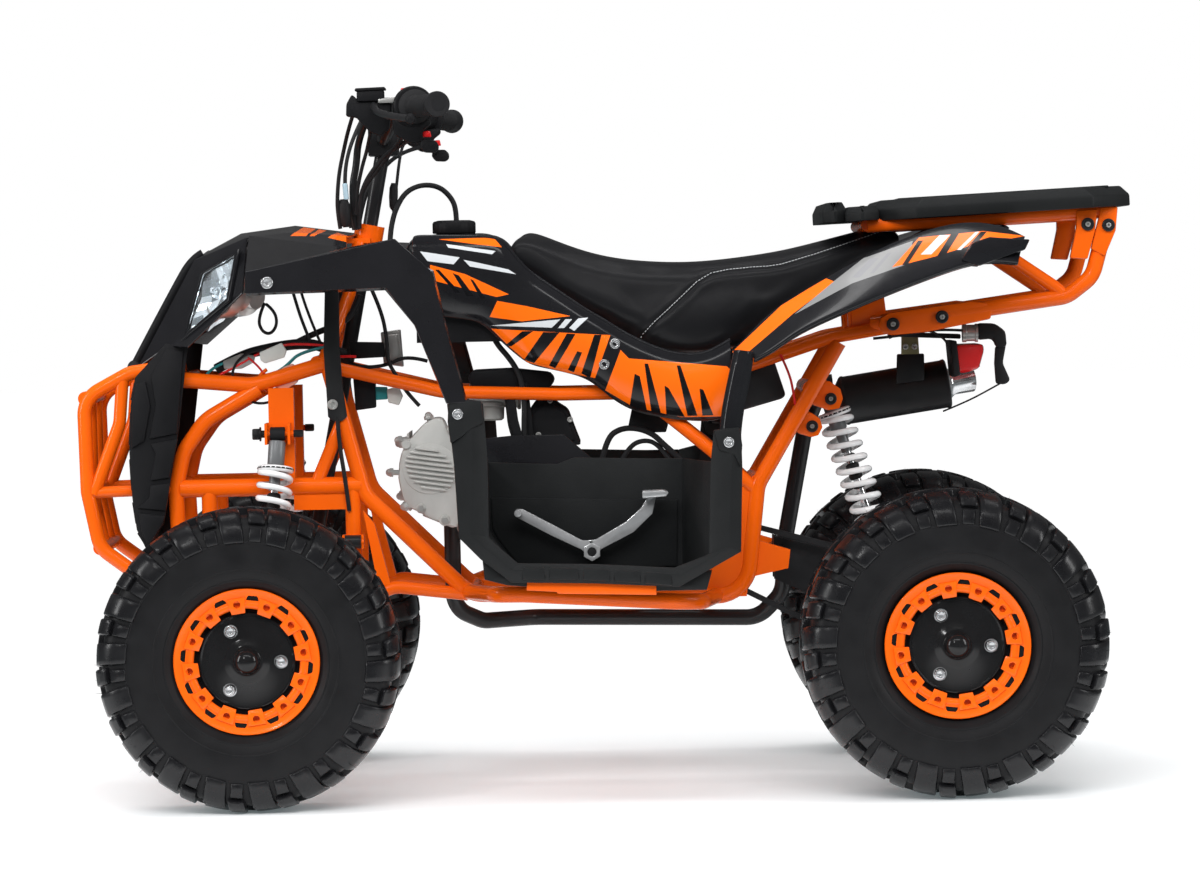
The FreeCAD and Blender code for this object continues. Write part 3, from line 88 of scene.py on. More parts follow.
class Paint:
    """A material: its constants go on the shader, and its varying values come from nodes."""

    def __init__(self, name, color=(0.8, 0.8, 0.8), rough=0.5, metal=0.0, coat=0.0, **constants):
        self.material = bpy.data.materials.new(name)
        self.material.use_nodes = True
        self.tree = self.material.node_tree
        self.shader = self.tree.nodes["Principled BSDF"]
        self.shader.inputs["Base Color"].default_value = (*color, 1)
        self.shader.inputs["Roughness"].default_value = rough
        self.shader.inputs["Metallic"].default_value = metal
        self.shader.inputs["Coat Weight"].default_value = coat
        for name_of, value in constants.items():
            self.shader.inputs[name_of.replace("_", " ")].default_value = value

    def add(self, kind, settings=None, values=None, out=0):
        node = self.tree.nodes.new(kind)
        for key, value in (settings or {}).items():
            setattr(node, key, value)
        pairs = values.items() if isinstance(values, dict) else enumerate(values or [])
        for key, value in pairs:
            if isinstance(value, Value):
                self.tree.links.new(value.socket, node.inputs[key])
            else:
                node.inputs[key].default_value = value
        return Value(self, node.outputs[out])

    def place(self):
        return self.add("ShaderNodeTexCoord", out="Object")

    def axes(self):
        split = self.add("ShaderNodeSeparateXYZ", values=[self.place()])
        return [Value(self, split.socket.node.outputs[i]) for i in range(3)]

    def noise(self, scale, detail):
        return self.add("ShaderNodeTexNoise", values={"Vector": self.place(), "Scale": scale,
                "Detail": detail})

    def grain(self, scale):
        return self.add("ShaderNodeTexVoronoi", values={"Vector": self.place(), "Scale": scale})

    def mix(self, share, first, second):
        first, second = [(*c, 1) if isinstance(c, tuple) and len(c) == 3 else c for c in (first, second)]
        return self.add("ShaderNodeMix", {"data_type": "RGBA"}, {0: share, 6: first, 7: second}, 2)

    def drive(self, **links):
        for name_of, value in links.items():
            self.tree.links.new(value.socket, self.shader.inputs[name_of.replace("_", " ")])
        return self

    def bump(self, height, strength, distance):
        raised = self.add("ShaderNodeBump", values={"Strength": strength, "Distance": distance,
                "Height": height})
        return self.drive(Normal=raised)

    def worn(self, cloud, dark, light, rough=None, grain=None):
        """Varies the colour between two shades by a noise's (scale, detail), the roughness by a noise
        times a gain plus a base, and the surface by a noise's bump of a strength and distance."""
        self.drive(Base_Color=self.mix(self.noise(*cloud), dark, light))
        if rough:
            noise, gain, base = rough
            self.drive(Roughness=self.noise(*noise) * gain + base)
        if grain:
            noise, strength, distance = grain
            self.bump(self.noise(*noise), strength, distance)
        return self


def lamp(name, place, aim, size, power, mirrored=True):
    data = bpy.data.lights.new(name, "AREA")
    data.shape = "RECTANGLE"
    data.size, data.size_y = size
    data.energy = power
    made = bpy.data.objects.new(name, data)
    made.location = place
    made.visible_glossy = mirrored
    made.rotation_euler = (Vector(aim) - Vector(place)).to_track_quat("-Z", "Y").to_euler()
    bpy.context.scene.collection.objects.link(made)


lamp("ceiling_lamp", (0.1, -0.2, 3.3), (0.1, 0, 0), (4.2, 2.6), 70, mirrored=False)
lamp("ceiling_strip", (0.1, -0.3, 3.2), (0.1, 0, 0), (4.2, 0.3), 16)
lamp("key_lamp", (2.4, 4.4, 3.1), (0, 0, 0.5), (0.55, 0.55), 26)
lamp("camera_side_lamp", (0.3, 4.6, 3.0), (0, 0, 0.45), (4.6, 1.6), 215, mirrored=False)
lamp("strip_lamp", (0.2, 3.0, 3.7), (0, 0, 0.5), (4.4, 0.35), 30)
lamp("front_lamp", (3.6, 1.2, 1.5), (0.3, 0, 0.5), (0.7, 2.2), 40)
lamp("rear_lamp", (-3.4, 1.6, 1.8), (-0.3, 0, 0.5), (0.7, 2.2), 36)
lamp("far_lamp", (0.4, -3.8, 2.4), (0, 0, 0.5), (3.6, 1.2), 44, mirrored=False)

world = bpy.data.worlds.new("studio")
world.use_nodes = True
bpy.context.scene.world = world
world_nodes = world.node_tree
rays = world_nodes.nodes.new("ShaderNodeLightPath")
mirrored_ray = world_nodes.nodes.new("ShaderNodeMapRange")
mirrored_ray.inputs["To Min"].default_value = 0.55
mirrored_ray.inputs["To Max"].default_value = 0.10
seen = world_nodes.nodes.new("ShaderNodeMath")
seen.operation = "MAXIMUM"
strength = world_nodes.nodes.new("ShaderNodeMath")
strength.operation = "MAXIMUM"
world_nodes.links.new(rays.outputs["Is Glossy Ray"], mirrored_ray.inputs["Value"])
world_nodes.links.new(rays.outputs["Is Camera Ray"], seen.inputs[0])
world_nodes.links.new(rays.outputs["Is Transmission Ray"], seen.inputs[1])
world_nodes.links.new(mirrored_ray.outputs[0], strength.inputs[0])
world_nodes.links.new(seen.outputs[0], strength.inputs[1])
world_nodes.nodes["Background"].inputs["Color"].default_value = (1, 1, 1, 1)
world_nodes.links.new(strength.outputs[0], world_nodes.nodes["Background"].inputs["Strength"])


def select_only(piece):
    bpy.ops.object.select_all(action="DESELECT")
    piece.select_set(True)
    bpy.context.view_layer.objects.active = piece
    return piece


bpy.ops.object.select_all(action="DESELECT")
bpy.ops.mesh.primitive_plane_add(size=60, location=(0, 0, 0))
floor = bpy.context.object
floor.name = "studio_floor"
floor_paint = Paint("studio_floor", color=(0.93, 0.93, 0.93), rough=0.55, Emission_Strength=1.0)
floor_x, floor_y, _ = floor_paint.axes()
from_middle = (floor_x * floor_x * 0.6 + floor_y * floor_y).maths("SQRT")
far_off = floor_paint.add("ShaderNodeMapRange", {"interpolation_type": "SMOOTHSTEP"},
    {"Value": from_middle, "From Min": 0.7, "From Max": 1.9})
viewed = floor_paint.add("ShaderNodeLightPath")
floor_paint.drive(Base_Color=floor_paint.mix(far_off, (0.9, 0.9, 0.905), (0.02, 0.02, 0.02)),
    Emission_Color=floor_paint.mix(far_off * viewed, (0.10, 0.12, 0.125), (1.0, 1.0, 1.0)),
    Roughness=floor_paint.noise(0.8, 1.0) * 0.1 + 0.5)
floor.data.materials.append(floor_paint.material)


# Painted steel tubes: the frame, guard and rack carrier, in gloss orange powder coat.
orange = Paint("orange_powder_coat", rough=0.24, coat=0.16, Coat_Roughness=0.05, Specular_IOR_Level=0.18)
orange.worn((9, 4), (0.72, 0.088, 0.002), (0.84, 0.124, 0.004), ((30, 2), 0.14, 0.17),
    ((420, 1), 0.12, 0.0006))


def finish_node(paint, *names):
    for name in names:
        nodes[name].data.materials.clear()
        nodes[name].data.materials.append(paint.material)


finish_node(orange, "main_frame", "front_frame", "front_guard", "rack_frame", "foot_bars")


# Moulded plastics: gloss panels outside, grained panels where feet and legs rub.
GLOSS_DARK, GLOSS_LIGHT = (0.006, 0.006, 0.007), (0.013, 0.013, 0.015)
gloss_black = Paint("gloss_black_plastic", rough=0.16, coat=0.22, Coat_Roughness=0.04,
    Specular_IOR_Level=0.25)
gloss_black.worn((14, 5), GLOSS_DARK, GLOSS_LIGHT, ((55, 6), 0.16, 0.09), ((300, 1), 0.06, 0.0005))
matt_black = Paint("grained_black_plastic", rough=0.5, Specular_IOR_Level=0.16)
matt_black.worn((18, 5), (0.006, 0.006, 0.007), (0.012, 0.012, 0.013), ((18, 5), 0.25, 0.36))
matt_black.bump(matt_black.grain(900.0), 0.35, 0.0006)
finish_node(gloss_black, "nose_cover", "front_fender_left", "front_fender_right", "tank_cover",
    "rear_fender")
finish_node(matt_black, "footwell_left", "footwell_right", "front_panel", "rack_deck", "battery_box",
    "air_box", "hand_controls", "fuel_cap", "fuel_tank", "seat")


# Steel and cast parts in their own finishes.
black_steel = Paint("satin_black_steel", rough=0.32, coat=0.12, Specular_IOR_Level=0.3)
black_steel.worn((20, 5), (0.008, 0.008, 0.009), (0.02, 0.02, 0.021), ((60, 4), 0.3, 0.2),
    ((500, 2), 0.1, 0.0004))
zinc = Paint("zinc_plated_steel", metal=0.65)
zinc.worn((40, 5), (0.35, 0.35, 0.34), (0.6, 0.6, 0.58), ((90, 5), 0.35, 0.2))
cast = Paint("cast_aluminium", metal=0.85)
cast.worn((35, 6), (0.36, 0.355, 0.34), (0.58, 0.57, 0.55), ((120, 4), 0.25, 0.36),
    ((900, 3), 0.25, 0.0008))
white = Paint("white_powder_coat", rough=0.22, coat=0.4)
white.worn((60, 5), (0.72, 0.73, 0.74), (0.86, 0.86, 0.86))
chrome = Paint("polished_chrome", metal=0.82, rough=0.08)
chrome.worn((25, 4), (0.62, 0.63, 0.65), (0.82, 0.83, 0.84), ((80, 5), 0.12, 0.03))
rubber = Paint("black_rubber", rough=0.6, Specular_IOR_Level=0.2)
rubber.worn((30, 6), (0.009, 0.009, 0.010), (0.019, 0.019, 0.020), ((70, 5), 0.3, 0.4),
    ((700, 3), 0.2, 0.0005))
red = Paint("red_lens", rough=0.15, coat=0.5)
red.worn((40, 3), (0.5, 0.01, 0.012), (0.7, 0.02, 0.02))
lens = Paint("clear_lens", color=(0.9, 0.93, 0.95), rough=0.06)
lens.worn((50, 3), (0.7, 0.73, 0.75), (0.9, 0.93, 0.95))
finish_node(black_steel, "exhaust_pipe", "muffler", "swing_arm", "steering_column", "handlebar",
    "suspension_arms_left", "suspension_arms_right", "chain")
finish_node(zinc, "sprocket", "brake_disc", "rear_axle", "knuckle_left", "knuckle_right", "tie_rod_left",
    "tie_rod_right", "shock_bodies")
finish_node(cast, "engine", "carburettor")
finish_node(white, "shock_springs")
finish_node(chrome, "shift_pedal")
finish_node(rubber, "grips", "tyre_front_left", "tyre_front_right", "tyre_rear_left", "tyre_rear_right")
finish_node(orange, "rim_front_left", "rim_front_right", "rim_rear_left", "rim_rear_right")
finish_node(lens, "headlights")
finish_node(red, "tail_light")


# Tyres: balloon tyres of black rubber. A spun carcass carries eighteen pitches of moulded block
# lugs, which wrap over the shoulder, with the fine rubber hairs that the mould's vents leave.
SIDES = (("left", 1), ("right", -1))
FRONT_HUB, REAR_HUB = (0.5614, 0.391, 0.237), (-0.5386, 0.3625, 0.240)
PITCHES = 18
TREAD_EDGE, LUG_HEIGHT = 0.775, 0.048  # as shares of the tyre's radius
VENT_HAIRS, HAIRS_WITHIN = 110, 0.47
BEAD_SEAT = 0.1135


def on_side(point, side):
    return Vector((point[0], point[1] * side, point[2]))


def mesh_piece(name, points, faces, edges=()):
    mesh = bpy.data.meshes.new(name)
    mesh.from_pydata(points, edges, faces)
    piece = bpy.data.objects.new(name, mesh)
    bpy.context.scene.collection.objects.link(piece)
    return select_only(piece)


def outline(name, points, closed=False):
    """A mesh of one line of points, selected and ready to be spun or extruded."""
    count = len(points)
    ends = range(count if closed else count - 1)
    return mesh_piece(name, points, [], [(i, (i + 1) % count) for i in ends])


def outward(piece):
    """Turns every face outwards, from edit mode or object mode."""
    bpy.ops.object.mode_set(mode="EDIT")
    bpy.ops.mesh.select_all(action="SELECT")
    bpy.ops.mesh.normals_make_consistent(inside=False)
    bpy.ops.object.mode_set(mode="OBJECT")
    return piece


def spun(name, section, steps, centre=(0, 0, 0), closed=True):
    """A (radius, y) section spun about a line along Y through the centre."""
    piece = outline(name, [Vector(centre) + Vector((r, y, 0)) for r, y in section], closed)
    bpy.ops.object.mode_set(mode="EDIT")
    bpy.ops.mesh.select_all(action="SELECT")
    bpy.ops.mesh.spin(steps=steps, angle=math.tau, center=centre, axis=(0, 1, 0))
    bpy.ops.mesh.select_all(action="SELECT")
    bpy.ops.mesh.remove_doubles(threshold=0.00002)
    return outward(piece)


def joined(pieces, name):
    bpy.ops.object.select_all(action="DESELECT")
    for piece in pieces:
        piece.select_set(True)
    bpy.context.view_layer.objects.active = pieces[0]
    if len(pieces) > 1:
        bpy.ops.object.join()
    pieces[0].name = pieces[0].data.name = name
    return pieces[0]


def applied(piece, kind, **settings):
    select_only(piece)
    modifier = piece.modifiers.new(kind.lower(), kind)
    for key, value in settings.items():
        setattr(modifier, key, value)
    bpy.ops.object.modifier_apply(modifier=modifier.name)
    return piece


def bevelled(piece, width, segments=2, angle=35):
    return applied(piece, "BEVEL", width=width, segments=segments, limit_method="ANGLE",
        angle_limit=math.radians(angle), use_clamp_overlap=True)


def smoothed(piece, angle=35):
    select_only(piece)
    bpy.ops.object.shade_smooth_by_angle(angle=math.radians(angle))
    return piece


def settled(piece):
    """Puts a piece's place and size into its mesh."""
    select_only(piece)
    bpy.ops.object.transform_apply(location=True, rotation=True, scale=True)
    return piece


def twin(piece, name, move=None):
    """A copy with its own mesh, moved by a matrix."""
    made = piece.copy()
    made.data = piece.data.copy()
    made.name = made.data.name = name
    bpy.context.scene.collection.objects.link(made)
    if move is not None:
        made.data.transform(move)
        if move.determinant() < 0:
            made.data.flip_normals()
    return made


def placed(piece, paint, body, *replaced, slot=None):
    piece.data.materials.clear()
    piece.data.materials.append(paint.material)
    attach(piece, body)
    if replaced:
        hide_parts(*replaced)
    return piece


def finished(piece, paint, *replaced, body="chassis", angle=30, slot=None):
    """Shades a piece smooth up to an angle, paints it and puts it on its body."""
    return placed(smoothed(piece, angle), paint, body, *replaced, slot=slot)


class Carcass:
    """A tyre's outside line, measured from the middle of the tread."""

    def __init__(self, half, radius, seat):
        shape = [(0.0, 0.952), (0.30, 0.952), (0.56, 0.949), (0.74, 0.938), (0.86, 0.905), (0.94, 0.845),
            (0.985, 0.775), (1.0, 0.700), (0.985, 0.620), (0.925, 0.550)]
        knots = [Vector((y * half, r * radius)) for y, r in shape] + [Vector((half * 0.8, seat + 0.004))]
        knots = [Vector((-knots[1].x, knots[1].y))] + knots + [knots[-1] * 2 - knots[-2]]
        self.line, self.lengths = [], [0.0]
        for a, b, c, d in zip(knots, knots[1:], knots[2:], knots[3:]):
            for i in range(6):
                t = i / 6
                self.line.append(0.5 * (b * 2 + (c - a) * t + (a * 2 - b * 5 + c * 4 - d) * t * t
                        + (b * 3 - a - c * 3 + d) * t ** 3))
        for a, b in zip(self.line, self.line[1:]):
            self.lengths.append(self.lengths[-1] + (b - a).length)

    def at(self, along, height):
        """The (y, r) point at a length along the line from the crown, raised off it by a height."""
        side = 1 if along >= 0 else -1
        along = abs(along)
        i = max(k for k, length in enumerate(self.lengths[:-1]) if length <= along)
        a, b = self.line[i], self.line[i + 1]
        share = (along - self.lengths[i]) / (self.lengths[i + 1] - self.lengths[i])
        out = Vector(((b - a).y * -1, (b - a).x)).normalized()
        point = a.lerp(b, share) + out * height
        return point.x * side, point.y

    def where(self, radius):
        return max(length for point, length in zip(self.line, self.lengths) if point.y >= radius)


def block_lug(carcass, centre, corners, heights, cuts):
    """A lug between four (turn, along) corners, as high at its inner and outer end as heights say."""
    bpy.ops.object.select_all(action="DESELECT")
    bpy.ops.mesh.primitive_cube_add(size=1)
    lug = bpy.context.object
    bpy.ops.object.mode_set(mode="EDIT")
    bpy.ops.mesh.select_all(action="SELECT")
    bpy.ops.mesh.subdivide(number_cuts=cuts)
    bpy.ops.object.mode_set(mode="OBJECT")
    (a, b, c, d) = corners
    for vertex in lug.data.vertices:
        u, v, w = (value + 0.5 for value in vertex.co)
        u = 0.5 + (u - 0.5) * (1.0 - 0.10 * w)
        v = 0.5 + (v - 0.5) * (1.0 - 0.05 * w)
        low = Vector(a).lerp(Vector(b), u)
        high = Vector(d).lerp(Vector(c), u)
        turned, along = low.lerp(high, v)
        height = -0.003 + w * (heights[0] + (heights[1] - heights[0]) * v + 0.003)
        y, r = carcass.at(along, height)
        vertex.co = centre + Vector((r * math.cos(turned), y, r * math.sin(turned)))
    return bevelled(lug, 0.0016, 1, 50)


def hairs(name, carcass, centre, count, shoulder, seed):
    """Vent hairs: needles of rubber that stand out from the lugs, clear of the ground."""
    chance = random.Random(seed)
    points, faces = [], []
    while len(points) < count * 4:
        turned = chance.uniform(0, math.tau)
        along = chance.choice((-1, 1)) * chance.uniform(shoulder * 0.35, shoulder * 0.93)
        y, r = carcass.at(along, 0.006)
        tip_y, tip_r = carcass.at(along, chance.uniform(0.011, 0.019))
        lean = chance.uniform(-0.02, 0.02)
        if math.sin(turned) < -0.75:
            continue
        base = len(points)
        for k in range(3):
            spin = math.tau * k / 3
            points.append(centre + Vector(((r + 0.0004 * math.cos(spin)) * math.cos(turned),
                        y + 0.0005 * math.sin(spin), (r + 0.0004 * math.cos(spin)) * math.sin(turned))))
            points[-1] += Vector((-math.sin(turned), 0, math.cos(turned))) * 0.0005 * math.sin(spin)
        tip_y = (min(tip_y, HAIRS_WITHIN - centre.y) if centre.y > 0
            else max(tip_y, -HAIRS_WITHIN - centre.y))
        points.append(centre + Vector((tip_r * math.cos(turned + lean), tip_y,
                    tip_r * math.sin(turned + lean))))
        faces += [(base, base + 1, base + 3), (base + 1, base + 2, base + 3), (base + 2, base, base + 3),
            (base, base + 2, base + 1)]
    return mesh_piece(name, points, faces)


def balloon_tyre(node, body, centre, half, radius, seed):
    carcass = Carcass(half, radius, BEAD_SEAT)
    side = 1 if centre.y > 0 else -1
    edge = carcass.where(radius * TREAD_EDGE)
    outer = [(point.y, point.x * side) for point in carcass.line]
    bead_y = outer[-1][1] * 0.94
    section = [(r, -y) for r, y in outer[:0:-1]] + outer
    section = [(BEAD_SEAT, -bead_y)] + section + [(BEAD_SEAT, bead_y)]
    skin = spun(node + "_carcass", section, 96, centre)
    pitch = math.tau / PITCHES
    tall = radius * LUG_HEIGHT
    lugs = []
    for flank, start in ((side, 0.0), (-side, 0.5)):
        for first, last, inner, outer_end, slant, heights in (
                (0.02, 0.54, edge - 0.088, edge, 0.12, (tall, 0.0040)),
                (0.60, 0.96, edge - 0.066, edge - 0.030, 0.06, (tall, tall * 0.8)),
                (0.62, 0.92, edge - 0.026, edge - 0.003, 0.0, (0.0070, 0.0035))):
            corners = [((first + start - slant) * pitch, inner * flank),
                ((last + start - slant * 1.4) * pitch, inner * flank),
                ((last + start) * pitch, outer_end * flank),
                ((first + start) * pitch, outer_end * flank)]
            lugs.append((corners, heights, 3 if outer_end - inner > 0.03 else 1))
        inner, outer_end = 0.004, edge - 0.100
        if outer_end > inner + 0.008:
            corners = [((0.30 + start) * pitch, inner * flank), ((0.72 + start) * pitch, inner * flank),
                ((0.52 + start) * pitch, outer_end * flank), ((0.10 + start) * pitch, outer_end * flank)]
            lugs.append((corners, (tall, tall), 2))
    one = joined([block_lug(carcass, centre, *lug) for lug in lugs], node + "_pitch")
    ring = [one]
    for i in range(1, PITCHES):
        spin_about = (Matrix.Translation(centre) @ Matrix.Rotation(pitch * i, 4, "Y")
            @ Matrix.Translation(-centre))
        ring.append(twin(one, node + "_pitch", spin_about))
    beads = []
    for share, bulge in ((0.785, 0.0011), (0.60, 0.0012), (0.535, 0.0014)):
        for flank in (1, -1):
            y, r = carcass.at(carcass.where(radius * share) * flank, 0.0)
            band = [(r + bulge * 1.6 * math.cos(a), y + bulge * math.sin(a))
                for a in (math.tau * k / 6 for k in range(6))]
            beads.append(spun(node + "_bead", band, 96, centre))
    tread = joined([*ring, hairs(node + "_hairs", carcass, centre, VENT_HAIRS, edge, seed)],
        node + "_tread")
    finished(tread, tread_rubber, body=body, angle=42, slot="tyre")
    wall = joined([skin, *beads], node + "_rubber")
    finished(wall, tyre_rubber, node, body=body, angle=60, slot="tyre")


tyre_rubber = Paint("tyre_rubber", rough=0.6, Specular_IOR_Level=0.14)
tyre_rubber.worn((26, 6), (0.0065, 0.0065, 0.007), (0.013, 0.013, 0.014), ((26, 6), 0.35, 0.28),
    ((420, 4), 0.22, 0.0006))
tread_rubber = Paint("tread_rubber", rough=0.3, Specular_IOR_Level=0.35)
tread_rubber.worn((34, 6), (0.004, 0.004, 0.005), (0.010, 0.010, 0.011), ((34, 6), 0.3, 0.14),
    ((240, 3), 0.18, 0.0006))
for seed, (side_name, side) in enumerate(SIDES):
    balloon_tyre("tyre_front_" + side_name, "wheel_front_" + side_name, on_side(FRONT_HUB, side), 0.089,
        FRONT_HUB[2], seed)
    balloon_tyre("tyre_rear_" + side_name, "rear_axle", on_side(REAR_HUB, side), 0.1175, REAR_HUB[2],
        seed + 2)


# Rims: a black pressed wheel with a domed hub cap and three socket bolts. A toothed orange ring with
# windows and a rolled inner tube is clamped over the outer bead.
wheel_black = Paint("gloss_black_wheel_paint", rough=0.14, coat=0.25, Coat_Roughness=0.04,
    Specular_IOR_Level=0.2)
wheel_black.worn((22, 5), (0.005, 0.005, 0.005), (0.011, 0.011, 0.012), ((70, 5), 0.16, 0.08))
TOOTH_TURNS = 12
RING_TURN, BOLT_TURN = math.radians(-6.5), math.radians(178)


def prism(name, corners, low, high):
    """A block between two Y planes whose outline is given as (x, z) corners."""
    outline(name, [Vector((x, low, z)) for x, z in corners], closed=True)
    bpy.ops.object.mode_set(mode="EDIT")
    bpy.ops.mesh.select_all(action="SELECT")
    bpy.ops.mesh.edge_face_add()
    bpy.ops.mesh.extrude_region_move(TRANSFORM_OT_translate={"value": (0, high - low, 0)})
    return outward(bpy.context.object)


def around(piece, name, count, start=0.0):
    """Copies of a piece turned about the Y axis through the origin, joined into one."""
    copies = [twin(piece, name, Matrix.Rotation(start + math.tau * i / count, 4, "Y"))
        for i in range(count)]
    bpy.data.objects.remove(piece)
    return joined(copies, name)


def cut_by(piece, tool):
    applied(piece, "BOOLEAN", object=tool, operation="DIFFERENCE", solver="EXACT")
    bpy.data.objects.remove(tool)
    return piece


def drum(name, radius, low, high, sides, at=(0, 0)):
    """A round bar along Y."""
    bpy.ops.object.select_all(action="DESELECT")
    bpy.ops.mesh.primitive_cylinder_add(vertices=sides, radius=radius, depth=high - low,
        location=(at[0], (low + high) / 2, at[1]), rotation=(math.pi / 2, 0, 0))
    made = settled(bpy.context.object)
    made.name = name
    return made


flange = spun("ring_flange", [(0.0925, -0.0035), (0.1050, -0.0030), (0.1100, -0.0012), (0.1122, 0.0000),
        (0.1135, -0.0014), (0.1135, -0.0060), (0.0925, -0.0060)], 144)
window = prism("ring_window", [(0.0953, -0.0098), (0.1000, -0.0086), (0.1027, -0.0064), (0.1027, 0.0064),
        (0.1000, 0.0086), (0.0953, 0.0098)], -0.02, 0.02)
cut_by(flange, around(window, "ring_windows", TOOTH_TURNS))
hoop = spun("ring_hoop", [(0.0886 + 0.0066 * math.cos(math.tau * k / 14),
            -0.0085 + 0.0066 * math.sin(math.tau * k / 14)) for k in range(14)], 96)
hole = drum("ring_hole", 0.0054, -0.012, 0.01, 14, (0.0897, 0))
cut_by(hoop, around(twin(hole, "ring_holes"), "ring_holes", TOOTH_TURNS, math.pi / TOOTH_TURNS))
tooth = prism("ring_tooth", [(0.0750, -0.0106), (0.0750, 0.0106), (0.0860, 0.0124), (0.0992, 0.0146),
        (0.0992, -0.0146), (0.0860, -0.0124)], -0.0034, -0.0004)
cut_by(tooth, hole)
for vertex in tooth.data.vertices:
    if vertex.co.x < 0.078:
        vertex.co.y -= 0.0030
teeth = around(bevelled(tooth, 0.0007, 2, 50), "ring_teeth", TOOTH_TURNS, math.pi / TOOTH_TURNS)
bead_ring = joined([bevelled(flange, 0.0006, 2, 40), hoop, teeth], "bead_ring")

wheel_bolt = drum("wheel_bolt", 0.0078, -0.0035, 0.0035, 24)
socket = drum("bolt_socket", 0.0044, -0.02, 0.001, 6)
socket.data.transform(Matrix.Translation((0, 0.0205, 0)))
cut_by(wheel_bolt, socket)
bevelled(wheel_bolt, 0.0011, 3, 40)
washer = spun("bolt_washer", [(0.0078, -0.0036), (0.0105, -0.0030), (0.0105, -0.0050),
        (0.0078, -0.0050)], 24)
wheel_bolt = joined([wheel_bolt, washer], "wheel_bolt")


def wheel_section(out, back, bore, hub_depth):
    """The black wheel's (radius, y) section, from the dome's tip round the barrel to the bore."""
    dome = [(0.0212 * math.sin(k * math.pi / 16), out - 0.0095 + 0.0208 * math.cos(k * math.pi / 16))
        for k in range(9)]
    face = [(0.0212, out - 0.0095), (0.0240, out - 0.0095), (0.0262, out - 0.0105),
        (0.0345, out - 0.0150), (0.0375, out - 0.0160), (0.0700, out - 0.0168),
        (0.0725, out - 0.0150), (0.0742, out - 0.0150), (0.0760, out - 0.0180),
        (0.0800, out - 0.0200), (0.0930, out - 0.0215), (0.0950, out - 0.0180),
        (0.0958, out - 0.0062), (0.1130, out - 0.0062), (0.1130, out - 0.0085),
        (0.0990, out - 0.0100), (0.0990, back + 0.0100), (0.1110, back + 0.0062),
        (0.1135, back + 0.0040), (0.1135, back + 0.0010), (0.1115, back),
        (0.0970, back + 0.0020), (0.0950, back + 0.0060), (0.0950, out - 0.0300),
        (0.0900, out - 0.0270), (0.0300, out - 0.0235), (0.0300, out - hub_depth),
        (bore, out - hub_depth), (bore, out - 0.0125), (0.0, out - 0.0125)]
    return dome + face


def rim(node, body, centre, out, back, bore, hub_depth=0.055):
    side = 1 if centre.y > 0 else -1
    facing = Matrix.Translation(centre) @ Matrix.Diagonal((1, side, 1, 1))
    wheel = spun(node + "_wheel", wheel_section(out, back, bore, hub_depth), 96)
    wheel.data.transform(facing)
    if side < 0:
        wheel.data.flip_normals()
    smoothed(bevelled(wheel, 0.0005, 1, 50), 35)
    placed(wheel, wheel_black, body, node, slot="rim")
    ring = twin(bead_ring, node + "_bead_ring", facing @ Matrix.Translation((0, out, 0))
        @ Matrix.Rotation(RING_TURN, 4, "Y"))
    finished(ring, orange, body=body, angle=40, slot="rim")
    bolts = []
    for i in range(3):
        bolts.append(twin(wheel_bolt, node + "_bolts",
                facing @ Matrix.Rotation(BOLT_TURN + math.tau * i / 3, 4, "Y")
                @ Matrix.Translation((0.0525, out - 0.0130, 0))))
    finished(joined(bolts, node + "_bolts"), chrome, body=body, angle=35, slot="chrome")


for side_name, side in SIDES:
    rim("rim_front_" + side_name, "wheel_front_" + side_name, on_side(FRONT_HUB, side), 0.074, -0.077,
        0.0081)
    rim("rim_rear_" + side_name, "rear_axle", on_side(REAR_HUB, side), 0.1005, -0.1055, 0.0151)
for template in (bead_ring, wheel_bolt):
    bpy.data.objects.remove(template)


# Nose and front fenders: thin gloss panels of moulded plastic in flat facets with eased edges. The
# fenders turn down in a channel to the footwells, and a screw holds each to the nose.
def millimetres(x, y, z):
    return Vector((x, y, z)) / 1000


def aimed(piece, at, facing):
    """Turns a piece made along +Y from the origin to face a direction from a point in millimetres."""
    turned = Vector((0, 1, 0)).rotation_difference(Vector(facing)).to_matrix().to_4x4()
    piece.data.transform(Matrix.Translation(Vector(at) / 1000) @ turned)
    return piece


def panelled(name, corners, faces):
    """A skin of flat panels between named corners in millimetres, with its wall under them."""
    order = list(corners)
    piece = mesh_piece(name, [millimetres(*corners[n]) for n in order],
        [[order.index(n) for n in face] for face in faces])
    applied(piece, "SOLIDIFY", thickness=0.0035, offset=-1, use_even_offset=True)
    return smoothed(bevelled(piece, 0.0012, 2, 12), 14)


def both_halves(corners, faces):
    """Corners and faces of a left half, with the right half added."""
    far = {n: (n + "_far" if corners[n][1] else n) for n in corners}
    every = dict(corners)
    every.update({far[n]: (x, -y, z) for n, (x, y, z) in corners.items() if y})
    return every, faces + [tuple(far[n] for n in reversed(face)) for face in faces]


